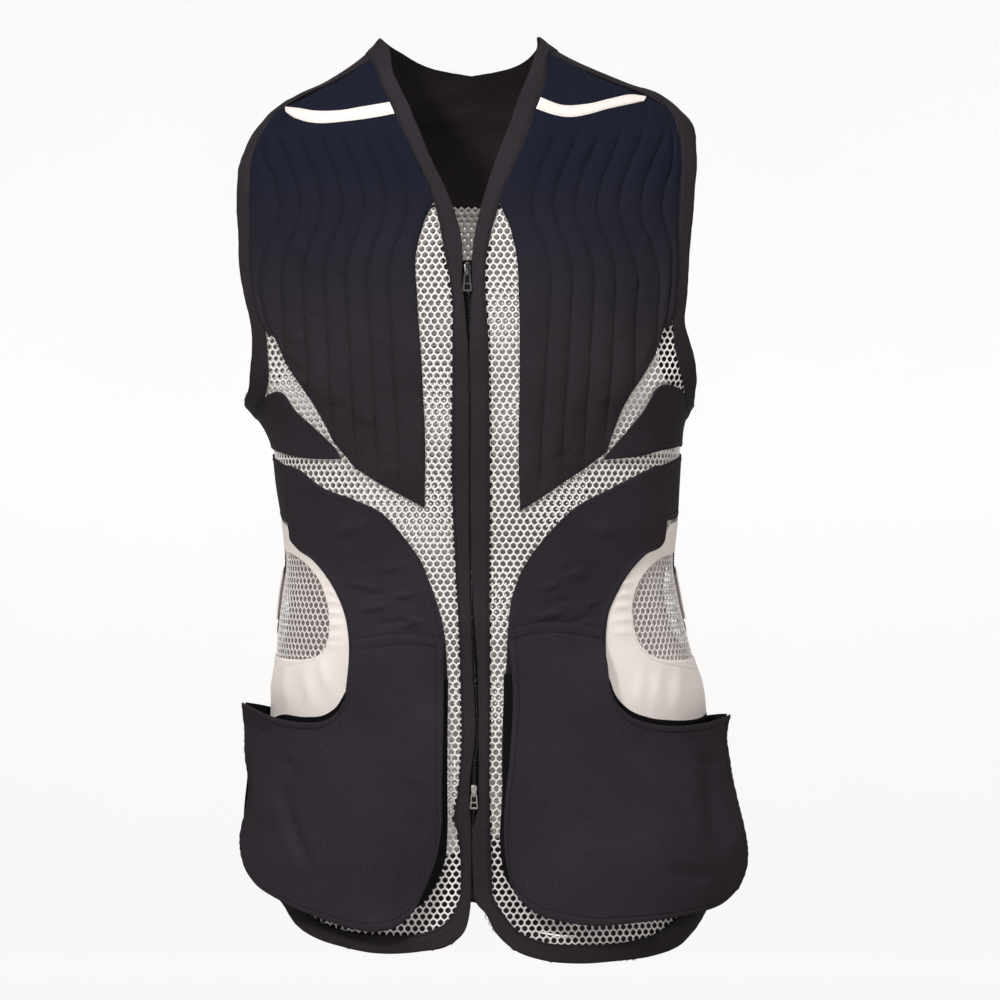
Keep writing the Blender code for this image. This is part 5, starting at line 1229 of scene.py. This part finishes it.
# ---- Bindings ----
# Black binding is folded over the edges of the neck and fronts, the armholes and the hem and sewn through
# from edge to edge. Its inner half is a little wider and shows as a dark line behind the net.
HEM_SEWN = {
    "left": ({"out": (7.5, 11, 21, 34, 71, 103, 122), "down": (661, 672, 685, 691, 694, 691, 684)},
             {"turn": (59, 71, 83, 98), "down": (672, 655, 643, 636)}),
    "right": ({"out": (18, 21, 27, 39, 57, 87, 123, 146), "down": (661, 668, 677, 691, 699, 702, 701, 696)},
              {"turn": (64, 74, 85, 98), "down": (684, 669, 654, 646)}),
}
FACING = {"down": (118, 148, 156, 182, 205, 640), "reach": (-0.2, -0.02, 0.26, 0.24, 0.1, 0.1)}
MITRES = {"x": (-7.4, 2.6), "down": (152, 150), "to_x": (-16, 15.5), "to_down": (161.5, 157), "wide": (1.5, 1.5),
          "rise": (-0.9, -0.9)}
BINDING = {"across": (0, 0.03, 0.1, 0.25, 0.45, 0.65, 0.8, 0.86, 0.9, 0.96, 1),
           "lift": (2.5, 3.2, 3.5, 3.6, 3.55, 3.6, 3.62, 2.95, 3.6, 3.4, 2.7)}
binding_cloth = woven("black binding", (0.0150, 0.0123, 0.0150), (0.0350, 0.0294, 0.0347), 0.8, lint=0.3,
                      wale=0.0007)


def bound_edge(name, free, sewn, count, nodes, closed=False, sign=1):
    """Binding between its free and its sewn edge, with a low dip where it is sewn through. It returns the
    places of its stitches too."""
    grid = strip(free, sewn, np.linspace(0, 1, count), BINDING["across"])
    grid = (grid[:-1] if closed else grid) * (sign, 1)
    step = np.arange(len(grid))[:, None]
    face = ring_point(FORM, grid[..., 0], grid[..., 1])
    lift = np.array(BINDING["lift"])[None] + 0.14 * np.sin(step * 1.3 + 2 * np.sin(step * 0.31))
    lift = lift + creases(grid, MITRES) * (face[..., 1] < 0)
    made = cloth(name, grid, lift, lift - 1.75, binding_cloth, nodes, closed=closed, roll=0.0)
    line = np.concatenate([grid[:, 7], grid[:1, 7]]) if closed else grid[:, 7]
    return grid, (line, 3.05)


def facing(name, grid, reach):
    """The binding's inner half, on the inside of the net, reaching further than the sewn edge."""
    reach = np.broadcast_to(reach, len(grid))[:, None, None]
    far = grid[:, -1:] + (grid[:, -1:] - grid[:, :1]) * reach
    across = np.array((0, 0.3, 0.6, 0.9, 1))[None, :, None]
    back = (1 - across) * grid[:, :1] + across * far
    made = cloth(name, back, LIFT["facing"], 0.8, binding_cloth, roll=0.2)


for side, sign in SIDES.items():
    free, sewn = line_of(side, NECK_FREE[side]), line_of(side, NECK_SEWN[side])
    grid, sewing = bound_edge(f"binding_front_{side}", free, sewn, 400, (f"neck_band_{side}",),
                              sign=sign)
    low = grid[grid[:, 0, 1] > 118]
    reach = smooth(FACING["down"], FACING["reach"], low[:, 0, 1])
    facing(f"facing_front_{side}", low, reach)
    lines = [sewing]
    free, sewn = (loop(rows_of(FORM, side, table[side])) for table in (ARM_FREE, ARM_SEWN))
    _, sewing = bound_edge(f"binding_arm_{side}", free, sewn, 220, (f"armhole_band_{side}",),
                           closed=True, sign=sign)
    lines.append(sewing)
    free, sewn = line_of(side, HEM_FREE[side]), line_of(side, HEM_SEWN[side])
    grid, sewing = bound_edge(f"binding_hem_{side}", free, sewn, 110, (f"hem_band_{side}",), sign=sign)
    facing(f"facing_hem_{side}", grid, 0.5)
    stitches(f"binding_stitches_{side}", lines + [sewing], black_thread, pitch=2.7, long=1.8)

turn = np.array(BACK_HEM["turn"], float)
free, sewn = (drawn(np.stack([turn, BACK_HEM[edge]], axis=1)) for edge in ("free", "sewn"))
grid, sewing = bound_edge("binding_hem_back", free, sewn, 150, ("hem_band_back",))
facing("facing_hem_back", grid, 0.0)
stitches("binding_stitches_back", [sewing], black_thread, pitch=2.7, long=1.8)


# ---- Zip ----
# A two-way nylon zip joins the fronts: a woven tape on each side behind the binding's edge, one row of coil
# between them, a black enamelled slider at the top and a plain zinc one near the foot, each with its tab.
ZIP_LINE = {"down": (150, 172, 190, 267, 426, 538, 560, 592, 610, 650),
            "x": (-2.2, -2.2, 0, 0, 1.2, 5.7, 3.2, 3.2, 2, 2)}
ZIP_ENDS = (154, 656)
TAPE_WIDE = 11
SLIDERS = {
    "top": {"x": -2.2, "down": 163, "half_wide": 2.9, "scale": 1.0},
    "bottom": {"x": 3.2, "down": 579, "half_wide": 2.5, "scale": 0.8},
}
SLIDER_HIGH = 3.3
BRIDGE = {"low": -6.0, "high": 1.2, "wall": 0.9, "top": 6.9, "wide": 1.3}
TAB_AXIS = (1.8, 4.6)
PULL_TAB = {
    "below": (-0.5, 0.5, 6.8, 8.2, 12.2, 14.0),
    "half": (2.4, 2.6, 3.2, 3.5, 3.9, 3.7),
    "gap": (1.4, 1.4, 1.5, 1.8, 2.1, 2.1),
}

# The tape is black, made darker still as painted shade, for the deep shade in the gap between the bindings.
tape_cloth_painted_shade = woven("zip tape, painted shade", (0.005, 0.005, 0.006), (0.010, 0.010, 0.011), 0.85, wale=0.0012)
coil = Finish("zip coil", (0.006, 0.006, 0.007), 0.6, Specular_IOR_Level=0.2)
coil.clouded(700.0, (0.004, 0.004, 0.005), (0.009, 0.009, 0.010))
enamel = Finish("black enamel", (0.010, 0.010, 0.012), 0.22, Coat_Weight=0.5, Coat_Roughness=0.12)
worn = enamel.clouded(420.0, (0.007, 0.007, 0.009), (0.016, 0.016, 0.018), 3.0)
enamel.set("Roughness", worn.step(0.2, 0.9) * 0.25 + 0.16)
rubbed = Finish("rubbed enamel", (0.050, 0.052, 0.058), 0.3, Coat_Weight=0.4, Coat_Roughness=0.15)
rubbed.clouded(420.0, (0.036, 0.037, 0.042), (0.075, 0.076, 0.082), 3.0)
zinc = Finish("grey zinc", (0.45, 0.42, 0.38), 0.35, Metallic=0.9)
zinc.set("Roughness", zinc.clouded(600.0, (0.36, 0.33, 0.30), (0.56, 0.53, 0.49), 3.0) * 0.3 + 0.22)

for side, sign in SIDES.items():
    down = np.linspace(*ZIP_ENDS, 160)
    line = smooth(ZIP_LINE["down"], ZIP_LINE["x"], down) * sign
    edges = [np.stack([seen(FORM, side, line + gap, down), down], axis=1)
             for gap in (0.12, 0.5, 2, 4, 6.5, 9, TAPE_WIDE - 0.5, TAPE_WIDE)]
    tape = cloth(f"tape_{side}", np.stack(edges, axis=1) * (sign, 1), LIFT["zip_tape"], 0.6, tape_cloth_painted_shade,
                 (f"zip_tape_{side}",), roll=0.15)


def coil_loops(down, x, wide=3.0, wire=0.42):
    """The coil: one flat loop for each tooth, a bowed rod across the line that is highest in the middle,
    every second one leaning the other way."""
    s = np.linspace(-1, 1, 5)[None, :, None]
    lean = np.where(np.arange(len(down)) % 2, 0.28, -0.28)[:, None, None]
    ring = np.linspace(0, 2 * np.pi, 6, endpoint=False)[None, None]
    out = 0.55 * (1 - s ** 4) + wire * np.sin(ring) - 0.35
    along = lean * s + wire * np.cos(ring)
    return np.broadcast_arrays(x[:, None, None] + wide * s, down[:, None, None] + along, out)


down = np.arange(ZIP_ENDS[0] + 2, ZIP_ENDS[1], 1.25)
across, depth, out = coil_loops(down, smooth(ZIP_LINE["down"], ZIP_LINE["x"], down))
turn = np.where(across < 0, -seen(FORM, "left", np.abs(across), depth), seen(FORM, "right", np.abs(across), depth))
points = lifted(FORM, np.stack([turn, depth], axis=-1), out - 0.2)
index = np.arange(points.size // 3).reshape(-1, 5, 6)
quads = np.concatenate([lattice(one, wrap=(0, 1)) for one in index])[:, ::-1].tolist()
caps = index[:, 0].tolist() + index[:, -1, ::-1].tolist()
added("zip_coil", points.reshape(-1, 3), caps + quads, coil)


def seat(x, down, lift):
    """Place and turn of a hard piece on the front: its middle, and its own right, out and up."""
    side = "left" if x < 0 else "right"
    turn = seen(FORM, side, abs(x), down) * SIDES[side]
    middle, higher = (lifted(FORM, np.array([[turn, d]]), np.array([lift]))[0] for d in (down, down - 6))
    up = unit((higher - middle) * (0, 1, 1))
    right = np.array((1.0, 0, 0))
    return middle, right, np.cross(right, up), up


def mirrored(right):
    """Closed outline from its right half, listed downwards: first the left half's top, then round."""
    right = np.asarray(right, float)
    left = right[::-1] * (-1, 1)
    return np.concatenate([left[-1:], right, left[:-1]])


def rounded(corners, radius, steps=4):
    """Closed outline whose corners are arcs: each is a quadratic curve from radius before to radius after."""
    corners = np.asarray(corners, float)
    before, after = np.roll(corners, 1, axis=0), np.roll(corners, -1, axis=0)
    starts, ends = ((corners + (other - corners) * np.minimum(
        radius / np.linalg.norm(other - corners, axis=1, keepdims=True), 0.45)) for other in (before, after))
    t = np.linspace(0, 1, steps)[None, :, None]
    arcs = (1 - t) ** 2 * starts[:, None] + 2 * t * (1 - t) * corners[:, None] + t * t * ends[:, None]
    return arcs.reshape(-1, 2)


def shrunk(outline, inset):
    """The outline moved in by the inset, along the mean normal of its neighbours."""
    ahead = unit(np.roll(outline, -1, axis=0) - np.roll(outline, 1, axis=0))
    area = (outline[:, 0] * np.roll(outline[:, 1], -1) - outline[:, 1] * np.roll(outline[:, 0], -1)).sum()
    return outline + inset * np.sign(area) * np.stack([-ahead[:, 1], ahead[:, 0]], axis=1)


def stack(outline, levels, hole=None):
    """A body from one outline at several levels, each moved in by its inset; a hole has its own outline that
    is moved out by the same inset. Returns points (across, out, up) and faces."""
    rings = [np.insert(shrunk(outline, inset), 1, level, axis=1) for level, inset in levels]
    count = len(outline)
    if hole is not None:
        rings += [np.insert(shrunk(hole, -inset), 1, level, axis=1) for level, inset in levels[::-1]]
    points = np.concatenate(rings)
    laps = len(rings)
    i = np.arange(count)
    faces = []
    for k in range(laps - 1 if hole is None else laps):
        one, two = i + k * count, i + (k + 1) % laps * count
        faces += np.stack([one, np.roll(one, -1), np.roll(two, -1), two], axis=1).tolist()
    if hole is None:
        faces += [i[::-1].tolist(), (i + (laps - 1) * count).tolist()]
    return points, faces


def hard_piece(name, parts, at, finish, nodes, body):
    """Join bodies given as (across, out, up) in one mesh and set it at its seat."""
    middle, right, out, up = at
    points, faces, start = [], [], 0
    for own, own_faces in parts:
        own = np.asarray(own, float)
        volume = sum(own[face[0]] @ np.cross(own[face[k]], own[face[k + 1]])
                     for face in own_faces for k in range(1, len(face) - 1))
        placed = middle + own[:, :1] * right + own[:, 1:2] * out + own[:, 2:] * up
        turned = volume > 0
        faces += [[v + start for v in (face[::-1] if turned else face)] for face in own_faces]
        points.append(placed)
        start += len(own)
    return added(name, np.concatenate(points), faces, finish, nodes, sharp=38, body=body)


for end, finish, slot in (("top", enamel, "black_enamel"), ("bottom", zinc, "grey_metal")):
    size = SLIDERS[end]
    k, half = size["scale"], size["half_wide"]
    at = seat(size["x"], size["down"], 0)
    shield = rounded([(-0.55 * half, -6.2 * k), (0.55 * half, -6.2 * k), (0.86 * half, -2.5 * k), (half, 4.4 * k),
                      (0.6 * half, 6.2 * k), (-0.6 * half, 6.2 * k), (-half, 4.4 * k), (-0.86 * half, -2.5 * k)], 1.1)
    plates = [stack(shield, [(-0.1, 0.3), (0.1, 0.05), (0.9, 0), (1.05, 0.12)]),
              stack(shrunk(shield, 0.9), [(0.9, 0), (2.2, 0)]),
              stack(shield, [(2.1, 0.12), (2.25, 0), (2.9, 0), (3.15, 0.15), (SLIDER_HIGH, 0.45)])]
    low, high, thick, top = (BRIDGE[key] for key in ("low", "high", "wall", "top"))
    low, high = low * k, high * k
    foot = SLIDER_HIGH - 0.8
    spine = np.array([(foot, low + thick / 2), (top - 1.2, low + thick / 2), (top - 0.45, low + 1.1),
                      (top - 0.45, high - 1.5), (top - 1.3, high - thick / 2), (foot, high - thick / 2)])
    lap = np.linspace(0, 2 * np.pi, 10, endpoint=False)
    ring = np.stack([np.cos(lap) * BRIDGE["wide"] / 2, np.sin(lap) * thick / 2], axis=1)
    runs = run_of(spine)
    fine = np.linspace(0, runs[-1], 26)
    spine = np.stack([smooth(runs, spine[:, n], fine) for n in (0, 1)], axis=1)
    ahead = unit(np.gradient(spine, axis=0))
    arch = np.stack([0 * fine[:, None] + ring[:, 0], spine[:, :1] - ahead[:, 1:] * ring[:, 1],
                     spine[:, 1:] + ahead[:, :1] * ring[:, 1]], axis=-1)
    index = np.arange(len(fine) * len(lap)).reshape(len(fine), len(lap))
    tube = lattice(index, wrap=(0, 1)).tolist()
    bridge = (arch.reshape(-1, 3), tube + [index[0, ::-1].tolist(), index[-1].tolist()])
    hard_piece(f"slider_{end}", [*plates, bridge], at, finish, (f"zip_slider_{end}",), "vest")

    below, wide, gap = (np.array(PULL_TAB[key]) for key in ("below", "half", "gap"))
    below = np.where(below > 1, below * k, below)
    wide = np.where(np.arange(len(wide)) < 2, wide, wide * (0.75 + 0.25 * k) - (1 - k) * 1.5)
    gap = np.minimum(gap, wide - 0.7)
    axis = (at[0] + at[3] * (BRIDGE["low"] * k + TAB_AXIS[0]) + at[2] * TAB_AXIS[1], *at[1:])
    rim = rounded(mirrored([(wide[1], 0.5), (wide[3], -below[3]), (wide[4], -below[4]), (wide[5] - 0.2, -below[5])]),
                  0.7)
    eye_hole = rounded(mirrored([(gap[1], -0.5), (gap[2], -1.5), (gap[2], -below[2] + 0.8),
                                 (gap[2] - 0.2, -below[2])]), 0.35)
    window = rounded(mirrored([(gap[3], -below[3]), (gap[3] + 0.1, -below[3] - 1), (gap[4], -below[4] + 0.8),
                               (gap[4], -below[4])]), 0.4)
    levels = [(-0.5, 0.22), (-0.32, 0.04), (0.32, 0.04), (0.5, 0.22)]
    half_low = -(below[2] + below[3]) / 2
    upper_rim, lower_rim = rim.copy(), rim.copy()
    upper_rim[:, 1] = np.maximum(upper_rim[:, 1], half_low - 0.3)
    lower_rim[:, 1] = np.minimum(lower_rim[:, 1], half_low + 0.3)
    tab = [stack(upper_rim, levels, eye_hole), stack(lower_rim, levels, window)]
    hard_piece(f"tab_{end}", tab, axis, rubbed if end == "top" else zinc, (f"zip_pull_{end}",),
               f"zip_tab_{end}")


# ---- Waist adjusters ----
# At each side a black tape is sewn to the cream panel; a cream tab hangs from it and holds a moulded ring.
ADJUSTER = {"turn": 98, "wide": 13, "girth": 2.2, "tape": (376, 408), "tab": (402, 446)}
ADJUSTER_RING = {"down": 451, "radius": 7.5, "wire": 1.1, "lift": 2.6, "steps": (48, 14)}

nylon = Finish("dark nylon", (0.020, 0.020, 0.022), 0.3)
nylon.set("Roughness", nylon.clouded(500.0, (0.014, 0.014, 0.016), (0.032, 0.032, 0.035)) * 0.2 + 0.22)

for side, sign in SIDES.items():
    wide = ADJUSTER["wide"] / 2 / ADJUSTER["girth"]
    across = np.array((-1, -0.95, -0.8, -0.3, 0.3, 0.8, 0.95, 1)) * wide + ADJUSTER["turn"]
    for part, finish, thread, slot in (("tape", binding_cloth, black_thread, "black_binding"),
                                       ("tab", cream, cream_thread, "pale_twill")):
        down = np.linspace(*ADJUSTER[part], 24)
        grid = np.stack(np.broadcast_arrays(across[None], down[:, None]), axis=-1) * (sign, 1)
        bow = 0.5 * np.sin(np.linspace(0, np.pi, 24))[:, None] * (part == "tab")
        strap = cloth(f"strap_{part}_{side}", grid, LIFT[part] + bow + 0 * across, 0.9, finish,
                      (f"adjuster_{part}_{side}",), roll=0.25)
        stitches(f"strap_{part}_stitches_{side}", [(grid[1:-1, k], seam_lift(part) + bow[1:-1, 0]) for k in (2, 5)],
                 thread, pitch=2.4, long=1.6)
    ring = ADJUSTER_RING
    here = np.array([[ADJUSTER["turn"] * sign, ring["down"]]])
    middle = lifted(FORM, here, np.array([ring["lift"]]))[0]
    out = unit(middle - lifted(FORM, here, np.array([0.0]))[0])
    along = unit(np.cross(out, (0, 0, 1.0)))
    up = np.cross(along, out)
    lap, tube = (np.linspace(0, 2 * np.pi, n, endpoint=False) for n in ring["steps"])
    spoke = along * np.cos(lap)[:, None, None] + up * np.sin(lap)[:, None, None]
    wire = middle + spoke * (ring["radius"] + ring["wire"] * np.cos(tube))[None, :, None] \
        + out * (ring["wire"] * np.sin(tube))[None, :, None]
    faces = lattice(np.arange(lap.size * tube.size).reshape(ring["steps"]), wrap=(1, 1))
    added(f"ring_{side}", wire.reshape(-1, 3), faces.tolist(), nylon, (f"adjuster_ring_{side}",))
